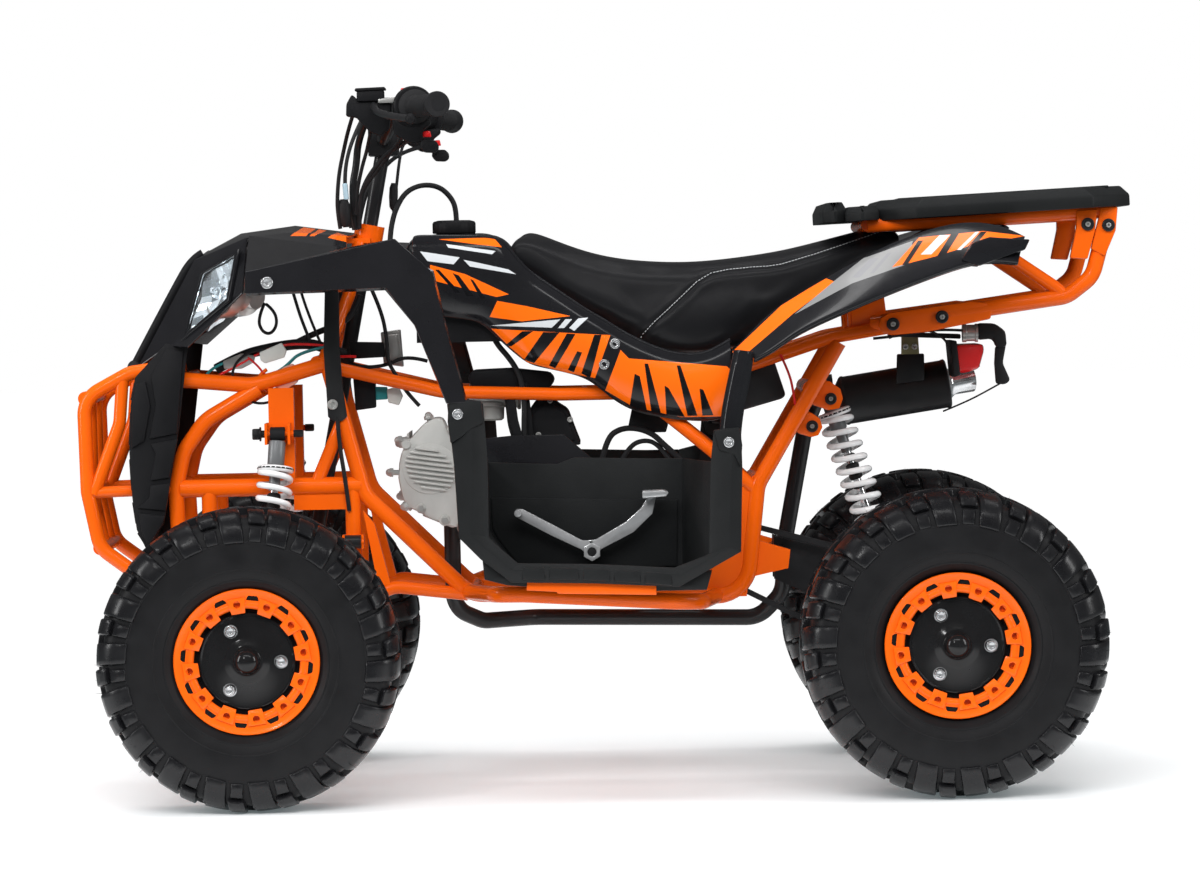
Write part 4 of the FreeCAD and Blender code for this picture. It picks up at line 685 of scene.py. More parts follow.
nose_corners = {
    "rear": (396, 0, 900), "rear_side": (411, 120, 895), "rear_edge": (406, 199, 872),
    "top": (589, 0, 904), "top_side": (577, 110, 903), "top_edge": (566, 199, 895),
    "brow": (659, 0, 868), "brow_side": (657, 120, 861), "tip": (755, 0, 690),
    "tip_side": (753, 108, 690), "chin": (700, 140, 724), "cheek": (666, 186, 722),
    "jaw": (571, 250, 807), "lens_top": (582, 212, 866), "lens_front": (637, 164, 838),
    "lens_low": (666, 164, 743), "lens_back": (595, 230, 797), "bonnet": (500, 0, 915),
    "bonnet_side": (500, 105, 903),
}
nose_faces = [
    ("rear", "bonnet", "bonnet_side", "rear_side"), ("bonnet", "top", "top_side", "bonnet_side"),
    ("rear_side", "bonnet_side", "rear_edge"), ("bonnet_side", "top_edge", "rear_edge"),
    ("bonnet_side", "top_side", "top_edge"),
    ("top", "brow", "brow_side", "top_side"), ("top_side", "brow_side", "top_edge"),
    ("brow", "tip", "tip_side", "brow_side"), ("brow_side", "tip_side", "chin"),
    ("top_edge", "brow_side", "lens_front", "lens_top"),
    ("brow_side", "chin", "lens_low", "lens_front"), ("chin", "cheek", "lens_low"),
    ("cheek", "jaw", "lens_back", "lens_low"), ("jaw", "top_edge", "lens_top", "lens_back"),
]


def inside(paint, x, z, corners):
    """Where the surface lies, seen from the side, inside a convex outline in millimetres."""
    count = len(corners)
    area = sum(corners[i][0] * corners[(i + 1) % count][1] - corners[(i + 1) % count][0] * corners[i][1]
        for i in range(count))
    within = None
    for i, (ax, az) in enumerate(corners):
        bx, bz = corners[(i + 1) % count]
        length = math.hypot(bx - ax, bz - az) * (1 if area > 0 else -1)
        nx, nz = (az - bz) / length, (bx - ax) / length
        test = (x * nx + z * nz) > (ax * nx + az * nz) / 1000
        within = test if within is None else within * test
    return within


def decalled(name, decals, beyond=None):
    """Gloss black plastic under printed film: each decal is a colour and its outlines."""
    paint = Paint(name, rough=0.15, coat=0.2, Coat_Roughness=0.04, Specular_IOR_Level=0.25)
    x, y, z = paint.axes()
    color = paint.mix(paint.noise(14.0, 5.0), GLOSS_DARK, GLOSS_LIGHT)
    for shade, outlines in decals:
        for corners in outlines:
            share = inside(paint, x, z, corners)
            if beyond:
                share = share * (y * y > beyond ** 2)
            color = paint.mix(share, color, shade)
    paint.drive(Base_Color=color, Roughness=paint.noise(55.0, 6.0) * 0.14 + 0.09)
    return paint.bump(paint.noise(300.0, 1.0), 0.05, 0.0005)


FILM_ORANGE = (0.88, 0.135, 0.004)
FILM_WHITE = (0.54, 0.56, 0.58)
FILM_BLACK = (0.006, 0.006, 0.007)
FILM_GREY = (0.20, 0.20, 0.20)
nose_paint = decalled("nose_film", [
        (FILM_ORANGE, [[(500, 897), (462, 896), (448, 906), (486, 912)],
                [(440, 893), (404, 884), (398, 892), (430, 902)]]),
        (FILM_BLACK, [[(476, 896), (470, 896), (458, 912), (464, 912)]]),
        ])
nose = panelled("nose_panels", *both_halves(nose_corners, nose_faces))
placed(nose, nose_paint, "chassis", "nose_cover", slot="black_gloss_plastic")

fender_corners = {
    "in_front": (562, 200, 895), "in_rear": (406, 200, 872), "crease_front": (556, 380, 837),
    "peak": (323, 384, 883), "low_front": (557, 384, 809), "low_rear": (336, 388, 813),
    "back_high": (268, 388, 832), "back_mid": (250, 394, 752), "back_low": (219, 402, 629),
    "edge_mid": (290, 396, 753), "edge_low": (242, 403, 629), "in_peak": (339, 236, 867),
    "flange_high": (266, 358, 834), "flange_mid": (248, 366, 752), "flange_low": (217, 380, 629),
    "under_front": (557, 352, 806), "under_rear": (338, 356, 810), "under_mid": (292, 366, 753),
    "under_low": (244, 378, 629),
}
fender_faces = [
    ("in_front", "crease_front", "peak", "in_rear"), ("in_rear", "peak", "in_peak"),
    ("crease_front", "low_front", "low_rear", "peak"), ("peak", "low_rear", "back_high"),
    ("back_high", "low_rear", "edge_mid", "back_mid"), ("back_mid", "edge_mid", "edge_low", "back_low"),
    ("peak", "back_high", "flange_high", "in_peak"),
    ("back_high", "back_mid", "flange_mid", "flange_high"),
    ("back_mid", "back_low", "flange_low", "flange_mid"),
    ("low_front", "under_front", "under_rear", "low_rear"),
    ("low_rear", "under_rear", "under_mid", "edge_mid"),
    ("edge_mid", "under_mid", "under_low", "edge_low"),
]
for side_name, side in SIDES:
    corners = {n: (x, y * side, z) for n, (x, y, z) in fender_corners.items()}
    fender = panelled("fender_%s_panels" % side_name, corners, [face[::-side] for face in fender_faces])
    placed(fender, gloss_black, "chassis", "front_fender_" + side_name, slot="black_gloss_plastic")


def screw(name, at, facing, radius, height, paint, body="chassis", sides=20):
    """A domed screw head with a hexagonal socket, which faces a direction, in millimetres."""
    radius, height = radius / 1000, height / 1000
    head = drum(name, radius, 0, height, sides)
    cut_by(head, drum(name + "_socket", radius * 0.5, height * 0.35, height * 1.6, 6))
    bevelled(head, min(height * 0.45, radius * 0.3), 3, 40)
    return finished(aimed(head, at, facing), paint, body=body, angle=40)


for side_name, side in SIDES:
    screw("fender_screw_" + side_name, (522, 386 * side, 822), (0, side, 0), 9.5, 5, chrome)


# Headlights: a clear lens over a faceted silver reflector in a dark housing, with a bucket behind.
reflector_silver = Paint("lamp_reflector", metal=0.9, rough=0.12)
reflector_silver.worn((60, 2), (0.62, 0.66, 0.7), (0.9, 0.93, 0.95), ((40, 2), 0.2, 0.05))
clear = Paint("clear_lens_plastic", color=(0.95, 0.98, 1.0), rough=0.02, Transmission_Weight=1.0, IOR=1.35)
clear.drive(Roughness=clear.noise(30.0, 3.0) * 0.05 + 0.01)
lamp_silver = Paint("lamp_bucket_silver", metal=0.8, rough=0.3)
lamp_silver.worn((30, 3), (0.45, 0.42, 0.4), (0.72, 0.70, 0.68))


def patch(name, four, columns, rows, lift):
    """A grid between four corners, each point raised along the patch's normal by lift(u, v)."""
    a, b, c, d = (Vector(corner) for corner in four)
    normal = (c - a).cross(d - b).normalized()
    points = [a.lerp(b, i / columns).lerp(d.lerp(c, i / columns), j / rows)
        + normal * lift(i / columns, j / rows) for j in range(rows + 1) for i in range(columns + 1)]
    wide = columns + 1
    faces = [(j * wide + i, j * wide + i + 1, (j + 1) * wide + i + 1, (j + 1) * wide + i)
        for j in range(rows) for i in range(columns)]
    return mesh_piece(name, points, faces)


for side_name, side in SIDES:
    lens_corners = [millimetres(x, y * side, z) for x, y, z in (nose_corners[n]
            for n in ("lens_top", "lens_front", "lens_low", "lens_back"))]
    if side < 0:
        lens_corners = [lens_corners[i] for i in (1, 0, 3, 2)]
    middle = sum(lens_corners, Vector()) / 4
    normal = (lens_corners[2] - lens_corners[0]).cross(lens_corners[3] - lens_corners[1]).normalized()
    way = 1 if normal.x > 0 else -1
    ahead_of = normal * way
    pane = patch("headlight_pane_" + side_name, lens_corners, 8, 8,
        lambda u, v: way * (0.0015 + 0.022 * u * (1 - u) * v * (1 - v) * 4))
    applied(pane, "SOLIDIFY", thickness=0.0022, offset=0)
    finished(pane, clear, "headlights", angle=60, slot="clear_lamp")
    chance = random.Random(4)
    depths = [[chance.uniform(-0.004, 0.004) for _ in range(7)] for _ in range(9)]
    bowl = patch("headlight_reflector_" + side_name,
        [middle + (c - middle) * 0.98 for c in lens_corners], 6, 8,
        lambda u, v: -way * (0.006 + 0.15 * u * (1 - u) * v * (1 - v) * 2.0
            + depths[round(v * 8)][round(u * 6)]))
    applied(bowl, "SOLIDIFY", thickness=0.002, offset=0)
    finished(bowl, reflector_silver, angle=5, slot="clear_lamp")
    housing = [(0.0, -0.060), (0.018, -0.060), (0.020, -0.048), (0.034, -0.040), (0.040, -0.024),
        (0.041, -0.014), (0.037, -0.014), (0.034, -0.026), (0.0, -0.050)]
    bucket = smoothed(spun("headlight_bucket_" + side_name, housing, 32), 30)
    placed(aimed(bucket, middle * 1000, ahead_of), lamp_silver, "chassis", slot="clear_lamp")
    bpy.ops.object.select_all(action="DESELECT")
    bpy.ops.mesh.primitive_uv_sphere_add(segments=20, ring_count=12, radius=0.011,
        location=middle - ahead_of * 0.012)
    bulb = settled(bpy.context.object)
    bulb.name = "headlight_bulb_" + side_name
    for vertex in bulb.data.vertices:
        along = (vertex.co - middle).dot(ahead_of) + 0.012
        vertex.co += ahead_of * along * 0.7
    finished(bulb, clear, angle=60, slot="clear_lamp")
    rim_band = []
    for scale, raised in ((1.20, 0.0005), (1.17, 0.0045), (1.04, 0.0045), (1.00, -0.004)):
        rim_band.append([middle + (c - middle) * scale + ahead_of * raised for c in lens_corners])
    surround = mesh_piece("headlight_surround_" + side_name, [p for loop in rim_band for p in loop],
        [(4 * k + i, 4 * k + (i + 1) % 4, 4 * k + 4 + (i + 1) % 4, 4 * k + 4 + i)
            for k in range(3) for i in range(4)])
    applied(surround, "SOLIDIFY", thickness=0.002, offset=0)
    finished(bevelled(surround, 0.0008, 2, 25), gloss_black, angle=25, slot="black_gloss_plastic")


# Tank cover: glossy curved side panels under printed film, joined by a lid over the tank, with a
# rounded bead along the edge that the seat drops into.
cover_rows = [(304, 893, 800), (280, 893, 768), (245, 892, 761), (199, 891, 757), (176, 890, 734),
    (160, 884, 718), (140, 857, 700), (118, 832, 682), (88, 811, 676), (58, 790, 669),
    (28, 769, 660), (4, 755, 642), (-20, 739, 620), (-50, 721, 604), (-86, 704, 595),
    (-124, 693, 589), (-160, 693, 586), (-190, 706, 588), (-206, 716, 604)]
cover_across = [(0.0, 119), (0.10, 130), (0.28, 136), (0.52, 137), (0.78, 131), (0.94, 124), (1.0, 116)]
motif = [
    (FILM_ORANGE, [[(262, 887), (173, 888), (160, 872), (205, 878)],
            [(276, 846), (276, 822), (170, 792), (150, 796), (220, 830)],
            [(168, 788), (120, 776), (40, 760), (130, 752), (182, 760)],
            [(180, 741), (-12, 727), (14, 658), (58, 667), (122, 685), (150, 710)],
            [(-41, 689), (-2, 638), (-47, 610), (-124, 592), (-190, 592), (-206, 640), (-209, 663),
                (-199, 673)], [(-28, 703), (-2, 638), (-41, 689)]]),
    (FILM_WHITE, [[(292, 868), (228, 857), (238, 846), (280, 852)],
            [(222, 853), (204, 849), (150, 836), (138, 828), (212, 842)],
            [(182, 746), (68, 754), (82, 741)], [(60, 754), (49, 754), (62, 740), (72, 740)],
            [(39, 755), (23, 756), (46, 735), (54, 740)],
            [(250, 879), (170, 866), (176, 861), (246, 873)]]),
    (FILM_BLACK, [[(268, 838), (262, 838), (228, 800), (236, 800)],
            [(240, 832), (230, 828), (206, 794), (218, 794)],
            [(212, 822), (207, 820), (188, 790), (196, 790)],
            [(160, 712), (148, 712), (112, 736), (130, 736)],
            [(128, 690), (112, 684), (70, 733), (96, 734)], [(88, 680), (78, 675), (44, 730), (58, 731)],
            [(58, 672), (48, 668), (34, 700), (42, 702)], [(36, 666), (22, 658), (2, 728), (14, 728)],
            [(-40, 606), (-70, 598), (-58, 660), (-50, 664)],
            [(-76, 600), (-92, 596), (-72, 680), (-66, 680)],
            [(-100, 596), (-130, 592), (-104, 640), (-98, 644)],
            [(-134, 594), (-150, 594), (-124, 676), (-118, 676)],
            [(-158, 594), (-176, 594), (-160, 636), (-154, 638)]]),
]
cover_film = decalled("tank_cover_film", motif)


def curved_skin(name, rows, wall=0.003, creased=()):
    """A smooth skin through rows of points in millimetres, with its wall under it."""
    wide = len(rows[0])
    points = [millimetres(*p) for row in rows for p in row]
    faces = [(i * wide + j, (i + 1) * wide + j, (i + 1) * wide + j + 1, i * wide + j + 1)
        for i in range(len(rows) - 1) for j in range(wide - 1)]
    piece = mesh_piece(name, points, faces)
    if creased:
        crease = piece.data.attributes.new("crease_edge", "FLOAT", "EDGE")
        for edge in piece.data.edges:
            ends = {index % wide for index in edge.vertices}
            if len(ends) == 1 and ends & set(creased):
                crease.data[edge.index].value = 0.7
    applied(piece, "SUBSURF", levels=2, render_levels=2)
    applied(piece, "SOLIDIFY", thickness=wall, offset=-1)
    return smoothed(bevelled(piece, 0.0008, 2, 50), 40)


def wire_along(name, kind, points, radius, rounding, **settings):
    """A round wire of a radius along points, in millimetres, as a mesh."""
    curve = bpy.data.curves.new(name, "CURVE")
    curve.dimensions = "3D"
    spline = curve.splines.new(kind)
    spline.points.add(len(points) - 1)
    for point, place in zip(spline.points, points):
        point.co = (*millimetres(*place), 1)
    for key, value in settings.items():
        setattr(spline, key, value)
    curve.bevel_depth = radius / 1000
    curve.bevel_resolution = rounding
    curve.use_fill_caps = True
    made = bpy.data.objects.new(name, curve)
    bpy.context.scene.collection.objects.link(made)
    select_only(made)
    bpy.ops.object.convert(target="MESH")
    return bpy.context.object


def pipe(name, points, radius, paint, body="chassis", sides=12):
    """A held tube, wire or bead along a smooth line through the points, in millimetres."""
    made = wire_along(name, "NURBS", points, radius, max(1, sides // 4 - 1), order_u=3,
        use_endpoint_u=True, resolution_u=6)
    return finished(made, paint, body=body, angle=50)


for side_name, side in SIDES:
    rows = []
    for x, high, low in cover_rows:
        rows.append([(x, y * side, high + (low - high) * share) for share, y in cover_across])
    if side < 0:
        rows = [row[::-1] for row in rows]
    shell = curved_skin("tank_side_" + side_name, rows)
    placed(shell, cover_film, "chassis", "tank_cover", slot="black_gloss_plastic")
    pipe("tank_bead_" + side_name, [(x, 121 * side, high - 1) for x, high, _ in cover_rows[3:]], 4.2,
        gloss_black)
    for name, x, z in (("upper", -19, 713), ("lower", -1, 680)):
        screw("cover_screw_%s_%s" % (name, side_name), (x, 135 * side, z), (0, side, 0), 8.5, 4.5, chrome)
lid_side = [(316, 872), (312, 888), (300, 894), (262, 897), (262, 897), (196, 897), (196, 897),
    (176, 895), (166, 884)]
lid_rows = [[(x, y, z - 7 * (y / 120) ** 2) for y in (121, 105, 70, 35, 0, -35, -70, -105, -121)]
    for x, z in lid_side]
lid = curved_skin("tank_lid", lid_rows)
placed(lid, cover_film, "chassis", slot="black_gloss_plastic")


# Fuel cap: a fluted black cap with its breather hose looped forward to the steering head.
cap_section = [(0.0, 0.0215), (0.026, 0.0215), (0.0335, 0.0195), (0.0355, 0.0165), (0.0355, 0.0015),
    (0.034, 0.0), (0.0, 0.0)]
cap = spun("filler_cap", cap_section, 72)
for vertex in cap.data.vertices:
    reach = math.hypot(vertex.co.x, vertex.co.z)
    if reach > 0.030:
        flute = math.cos(math.atan2(vertex.co.z, vertex.co.x) * 18)
        vertex.co.x *= 1 - 0.035 * max(0.0, flute)
        vertex.co.z *= 1 - 0.035 * max(0.0, flute)
cap.data.transform(Matrix.Translation(millimetres(240, 0, 897)) @ Matrix.Rotation(math.pi / 2, 4, "X"))
finished(cap, matt_black, "fuel_cap", angle=50, slot="black_matt_plastic")
pipe("breather_hose", ((236, 0, 915), (236, 0, 938), (245, 0, 958), (264, 4, 975), (292, 14, 978),
        (318, 26, 966), (334, 34, 938), (341, 38, 912), (344, 40, 886), (346, 40, 850)), 4.3, rubber,
    sides=16)


# Seat: foam under black vinyl, sewn from a top, a front side panel and a rear side panel. A lofted pad
# is swelled by a cloth simulation, then takes its seam groove and the thread along it.
vinyl = Paint("black_seat_vinyl", rough=0.36, Specular_IOR_Level=0.2)
vinyl.worn((7, 5), (0.006, 0.006, 0.007), (0.012, 0.012, 0.013), ((7, 5), 0.22, 0.24))
vinyl.bump(vinyl.grain(1100.0) * 0.35 + vinyl.noise(45.0, 3.0) * 1.2, 0.22, 0.0009)
thread = Paint("grey_thread", rough=0.6)
thread.worn((900, 2), (0.34, 0.35, 0.36), (0.52, 0.53, 0.54))
seat_rows = [(152, 866, 864, 856, 96), (149, 884, 877, 850, 106), (138, 892, 888, 844, 110),
    (124, 893, 888, 834, 111), (93, 882, 876, 806, 112), (43, 860, 851, 772, 112),
    (-13, 844, 832, 738, 113), (-71, 837, 824, 704, 113), (-129, 834, 822, 689, 113),
    (-180, 836, 823, 692, 113), (-230, 841, 826, 714, 112), (-293, 849, 831, 750, 110),
    (-350, 862, 847, 786, 108), (-423, 880, 870, 834, 104), (-478, 893, 888, 866, 98),
    (-490, 893, 890, 876, 90)]
seat_seam = [(-60, 712), (-67, 725), (-85, 744), (-109, 765), (-132, 786), (-156, 808), (-179, 821),
    (-206, 826), (-245, 829), (-271, 830), (-293, 833), (-350, 849), (-423, 872), (-481, 890)]
PRESSURE, SWELL_LIMIT, SEAT_HALF = 3.0, 0.009, 0.1165
SEAM_WIDTH, STITCH_STEP = 3.2, 5.4
rings = []
for x, crown, crease, base, reach in seat_rows:
    tall = crease - base
    left = [(0, crown), (0.45 * reach, crown - 2), (0.80 * reach, crease + (crown - crease) * 0.35),
        (0.95 * reach, crease - 3), (reach, crease - 0.20 * tall), (reach, base + 0.45 * tall),
        (0.98 * reach, base + 0.12 * tall), (0.90 * reach, base), (0.45 * reach, base), (0, base)]
    rings.append([millimetres(x, y, z) for y, z in left]
        + [millimetres(x, -y, z) for y, z in left[-2:0:-1]])
wide = len(rings[0])
seat_faces = [(i * wide + j, i * wide + (j + 1) % wide, (i + 1) * wide + (j + 1) % wide,
        (i + 1) * wide + j) for i in range(len(rings) - 1) for j in range(wide)]
seat_faces += [tuple(range(wide))[::-1], tuple(range(len(rings) * wide - wide, len(rings) * wide))]
seat = outward(mesh_piece("seat_pad", [p for ring in rings for p in ring], seat_faces))
applied(seat, "SUBSURF", levels=2, render_levels=2)
applied(seat, "REMESH", mode="VOXEL", voxel_size=0.006, use_smooth_shade=True)
start = [vertex.co.copy() for vertex in seat.data.vertices]
select_only(seat)
cloth = seat.modifiers.new("cloth", "CLOTH")
cloth.settings.use_pressure = True
cloth.settings.uniform_pressure_force = PRESSURE
cloth.settings.effector_weights.gravity = 0
for frame_number in range(1, 21):
    bpy.context.scene.frame_set(frame_number)
bpy.ops.object.modifier_apply(modifier=cloth.name)
bpy.context.scene.frame_set(1)
for vertex, first in zip(seat.data.vertices, start):
    moved = vertex.co - first
    if moved.length > SWELL_LIMIT:
        vertex.co = first + moved * (SWELL_LIMIT / moved.length)
    vertex.co.y = max(-SEAT_HALF, min(SEAT_HALF, vertex.co.y))
applied(seat, "SMOOTH", factor=0.5, iterations=9)
applied(seat, "SUBSURF", levels=1, render_levels=1)


def beside(line, x, z):
    """How far a point lies from a line of (x, z) points, all in millimetres."""
    nearest = 1e9
    for (ax, az), (bx, bz) in zip(line, line[1:]):
        dx, dz = bx - ax, bz - az
        share = max(0.0, min(1.0, ((x - ax) * dx + (z - az) * dz) / (dx * dx + dz * dz)))
        nearest = min(nearest, math.hypot(x - ax - dx * share, z - az - dz * share))
    return nearest


def stations(line, step):
    """Points along a line, a step apart, each with the line's direction there."""
    found, left_over = [], 0.0
    for (ax, az), (bx, bz) in zip(line, line[1:]):
        length = math.hypot(bx - ax, bz - az)
        at = left_over
        while at < length:
            found.append((ax + (bx - ax) * at / length, az + (bz - az) * at / length,
                    math.atan2(bz - az, bx - ax)))
            at += step
        left_over = at - length
    return found


pushed = [(vertex, vertex.normal.copy()) for vertex in seat.data.vertices if abs(vertex.co.y) > 0.080]
for vertex, normal in pushed:
    off = beside(seat_seam, vertex.co.x * 1000, vertex.co.z * 1000)
    if off < 26:
        groove = 0.0026 * math.exp(-(off / SEAM_WIDTH) ** 2) - 0.0012 * math.exp(-((off - 10) / 6) ** 2)
        vertex.co -= normal * groove
seat.data.update()
finished(seat, vinyl, "seat", angle=70, slot="seat_cover")
surface = BVHTree.FromObject(seat, bpy.context.evaluated_depsgraph_get())
bpy.ops.object.select_all(action="DESELECT")
bpy.ops.mesh.primitive_cylinder_add(vertices=6, radius=0.0008, depth=0.0038, rotation=(0, math.pi / 2, 0))
one_stitch = bevelled(settled(bpy.context.object), 0.0002, 1, 40)
stitches = []
for x, z, turned in stations(seat_seam, STITCH_STEP):
    x, z = x + SEAM_WIDTH * math.sin(turned), z - SEAM_WIDTH * math.cos(turned)
    for side in (1, -1):
        hit = surface.ray_cast(millimetres(x, 300 * side, z), Vector((0, -side, 0)))[0]
        if hit is not None and abs(hit.y) > 0.05:
            stitches.append(twin(one_stitch, "seat_stitch", Matrix.Translation(hit)
                    @ Matrix.Rotation(-turned, 4, "Y")))
bpy.data.objects.remove(one_stitch)
placed(joined(stitches, "seat_stitches"), thread, "chassis")


# Rear fenders: gloss black panels that rise from the seat's edge to a ridge, turn down over the wheels
# and carry printed film under the ridge. A strut runs down to each footwell, and a tail panel joins them.
def block_of(name, corners, low, high, edge=0.0015, angle=25):
    """A bevelled plate between two Y planes, its outline in millimetres seen from the side."""
    made = prism(name, [(x / 1000, z / 1000) for x, z in corners], *sorted((low / 1000, high / 1000)))
    return bevelled(made, edge, 2, angle)


fender_film = decalled("rear_fender_film", [
        (FILM_ORANGE, [[(-202, 698), (-215, 689), (-298, 757), (-281, 770)],
                [(-281, 770), (-298, 757), (-366, 806), (-352, 812)]]),
        (FILM_GREY, [[(-300, 756), (-392, 803), (-415, 838), (-366, 808)],
                [(-366, 808), (-392, 803), (-480, 832), (-490, 868), (-412, 842)]]),
        (FILM_ORANGE, [[(-455, 827), (-520, 842), (-590, 862), (-600, 881), (-500, 873)],
                [(-590, 862), (-640, 868), (-668, 872), (-600, 881)]]),
        ((0.18, 0.18, 0.19), [[(-392, 812), (-404, 812), (-436, 842), (-424, 842)],
                [(-420, 818), (-426, 818), (-456, 850), (-450, 850)]]),
        (FILM_ORANGE, [[(-340, 780), (-420, 816), (-438, 822), (-352, 786)]]),
        (FILM_WHITE, [[(-500, 846), (-516, 846), (-548, 876), (-532, 876)],
                [(-556, 852), (-562, 852), (-594, 880), (-588, 880)]]),
        (FILM_BLACK, [[(-470, 830), (-478, 830), (-506, 868), (-498, 868)],
                [(-524, 842), (-536, 842), (-562, 878), (-550, 878)],
                [(-570, 854), (-580, 854), (-606, 880), (-596, 880)]]),
        ], beyond=0.2975)
fender_rows = [
    ((-208, 704), (-203, 699), (-236, 690)), ((-250, 724), (-240, 738), (-266, 704)),
    ((-295, 752), (-274, 769), (-305, 733)), ((-350, 800), (-340, 804), (-372, 761)),
    ((-420, 836), (-412, 846), (-446, 791)), ((-485, 868), (-493, 880), (-520, 818)),
    ((-545, 890), (-568, 899), (-582, 838)), ((-600, 897), (-629, 892), (-622, 838)),
    ((-650, 893), (-668, 871), (-650, 834)),
]
for side_name, side in SIDES:
    rows = []
    for (ix, iz), (rx, rz), (lx, lz) in fender_rows:
        row = [(ix, 121, iz - 8), (ix, 125, iz)]
        row += [(ix + (rx - ix) * s, 125 + 175 * s, iz + (rz - iz) * s - sag)
            for s, sag in ((0.25, 5), (0.6, 7), (0.9, 3))]
        row += [(rx, 300, rz)]
        row += [(rx + (lx - rx) * s, 300 + 80 * s, rz + (lz - rz) * s + 2) for s in (0.12, 0.45, 0.8)]
        row += [(lx, 380, lz), (lx + 1, 378, lz - 7), (lx + 2, 368, lz - 9)]
        rows.append([(x, y * side, z) for x, y, z in row])
    if side > 0:
        rows = [row[::-1] for row in rows]
    creased = (2, 6) if side > 0 else (5, 9)
    wing = curved_skin("rear_fender_" + side_name, rows, creased=creased)
    placed(wing, fender_film, "chassis", "rear_fender", slot="black_gloss_plastic")
    rows = []
    for x, z, across in ((-219, 703, 15), (-216, 680, 17), (-204, 630, 17), (-197, 590, 17),
            (-195, 566, 17)):
        rows.append([(x + across, 352 * side, z), (x + across + 1, 376 * side, z),
                (x + across * 0.55, 385 * side, z), (x - across * 0.35, 385 * side, z - 2),
                (x - across, 376 * side, z - 3), (x - across, 352 * side, z - 3)])
    if side < 0:
        rows = [row[::-1] for row in rows]
    placed(curved_skin("fender_strut_" + side_name, rows, 0.0025, (1, 2, 3, 4)), gloss_black, "chassis",
        slot="black_gloss_plastic")
    box = block_of("fender_tail_box_" + side_name, [(-560, 836), (-588, 826), (-660, 850), (-668, 866),
            (-640, 868), (-606, 871), (-578, 862)], 340 * side, 383 * side, 0.0025, 25)
    finished(box, gloss_black, angle=25, slot="black_gloss_plastic")
rows = []
for x, z in ((-500, 864), (-508, 872), (-545, 889), (-600, 896), (-650, 892), (-658, 884)):
    rows.append([(x, y, z + 3 - 3 * (y / 124) ** 2) for y in (-126, -110, -60, 0, 60, 110, 126)])
placed(curved_skin("tail_panel", rows), gloss_black, "chassis", slot="black_gloss_plastic")


# Front splash panel: a ribbed shell of grained black plastic behind the guard, stepped like armour.
panel_front = [(742, 396), (757, 429), (763, 481), (766, 553), (762, 630), (754, 674)]
panel_back = [(703, 728), (668, 722), (677, 654), (685, 592), (698, 521), (707, 469), (713, 438)]
panel_parts = []
for side in (1, -1):
    panel_parts.append(block_of("panel_side", panel_front + panel_back, 146.5 * side, 150 * side, 0.0012))
    for step in (((675, 714), (702, 720), (728, 676), (721, 629), (733, 575), (688, 583)),
            ((687, 574), (731, 567), (723, 552), (732, 508), (702, 512)),
            ((701, 503), (733, 500), (735, 480), (754, 464), (709, 459)),
            ((710, 450), (753, 456), (748, 420), (738, 402), (715, 438)),
            ((737, 668), (752, 664), (759, 628), (762, 560), (741, 572), (730, 628))):
        panel_parts.append(block_of("panel_step", step, 149 * side, 155 * side, 0.0016))
face = mesh_piece("panel_face", [millimetres(x, y, z) for x, z in panel_front for y in (148, -148)],
    [(2 * i + 1, 2 * i, 2 * i + 2, 2 * i + 3) for i in range(len(panel_front) - 1)])
panel_parts.append(bevelled(applied(face, "SOLIDIFY", thickness=0.004, offset=-1), 0.001, 2, 20))
for (ax, az), (bx, bz) in zip(panel_front, panel_front[1:]):
    for y0, y1, f0, f1 in ((-132, -52, 0.12, 0.88), (-46, 46, 0.04, 0.80), (52, 132, 0.12, 0.88)):
        slab = block_of("panel_rib", [(ax + (bx - ax) * f0 - 1, az + (bz - az) * f0),
                (ax + (bx - ax) * f0 + 3, az + (bz - az) * f0 + 3),
                (ax + (bx - ax) * f1 + 3, az + (bz - az) * f1 - 3),
                (ax + (bx - ax) * f1 - 1, az + (bz - az) * f1)], y0, y1, 0.001)
        panel_parts.append(slab)
panel = joined(panel_parts, "splash_panel")
finished(panel, matt_black, "front_panel", slot="black_matt_plastic")


# Footwells: deep trays of grained plastic. The outer rim is a folded channel with a ribbed lip below,
# clamped at its tops over the ends of the fenders and held by screws. A steel plate shows under the lip.
grained = Paint("grained_footwell_plastic", rough=0.5, Specular_IOR_Level=0.2)
grained.worn((16, 6), (0.007, 0.0075, 0.008), (0.014, 0.015, 0.0155), ((16, 6), 0.2, 0.38))
grained.bump(grained.grain(800.0) + grained.noise(160.0, 3.0), 0.3, 0.0007)
channel = [((243, 628), (210, 628), (190, 628)), ((234, 531), (207, 537), (186, 545)),
    ((229, 420), (213, 425), (187, 418)), ((196, 386), (191, 403), (176, 406)),
    ((150, 350), (149, 367), (141, 375)), ((20, 346), (20, 364), (20, 371)),
    ((-110, 338), (-113, 354), (-104, 363)), ((-206, 390), (-189, 397), (-160, 384)),
    ((-210, 523), (-197, 532), (-165, 530)), ((-209, 581), (-190, 579), (-169, 575))]
deep = {1: (190, 528), 2: (188, 420), 3: (178, 400), 4: (140, 350), 5: (20, 345), 6: (-100, 342),
    7: (-122, 352), 8: (-125, 528)}
LIP_FRONT, LIP_LENGTH = 134, 234


def lip_z(x, base):
    """The height of the ribbed lip, which sinks rearward and swells in the middle."""
    return base - (LIP_FRONT - x) * 0.06 + 3 * math.sin(math.pi * (LIP_FRONT - x) / LIP_LENGTH)


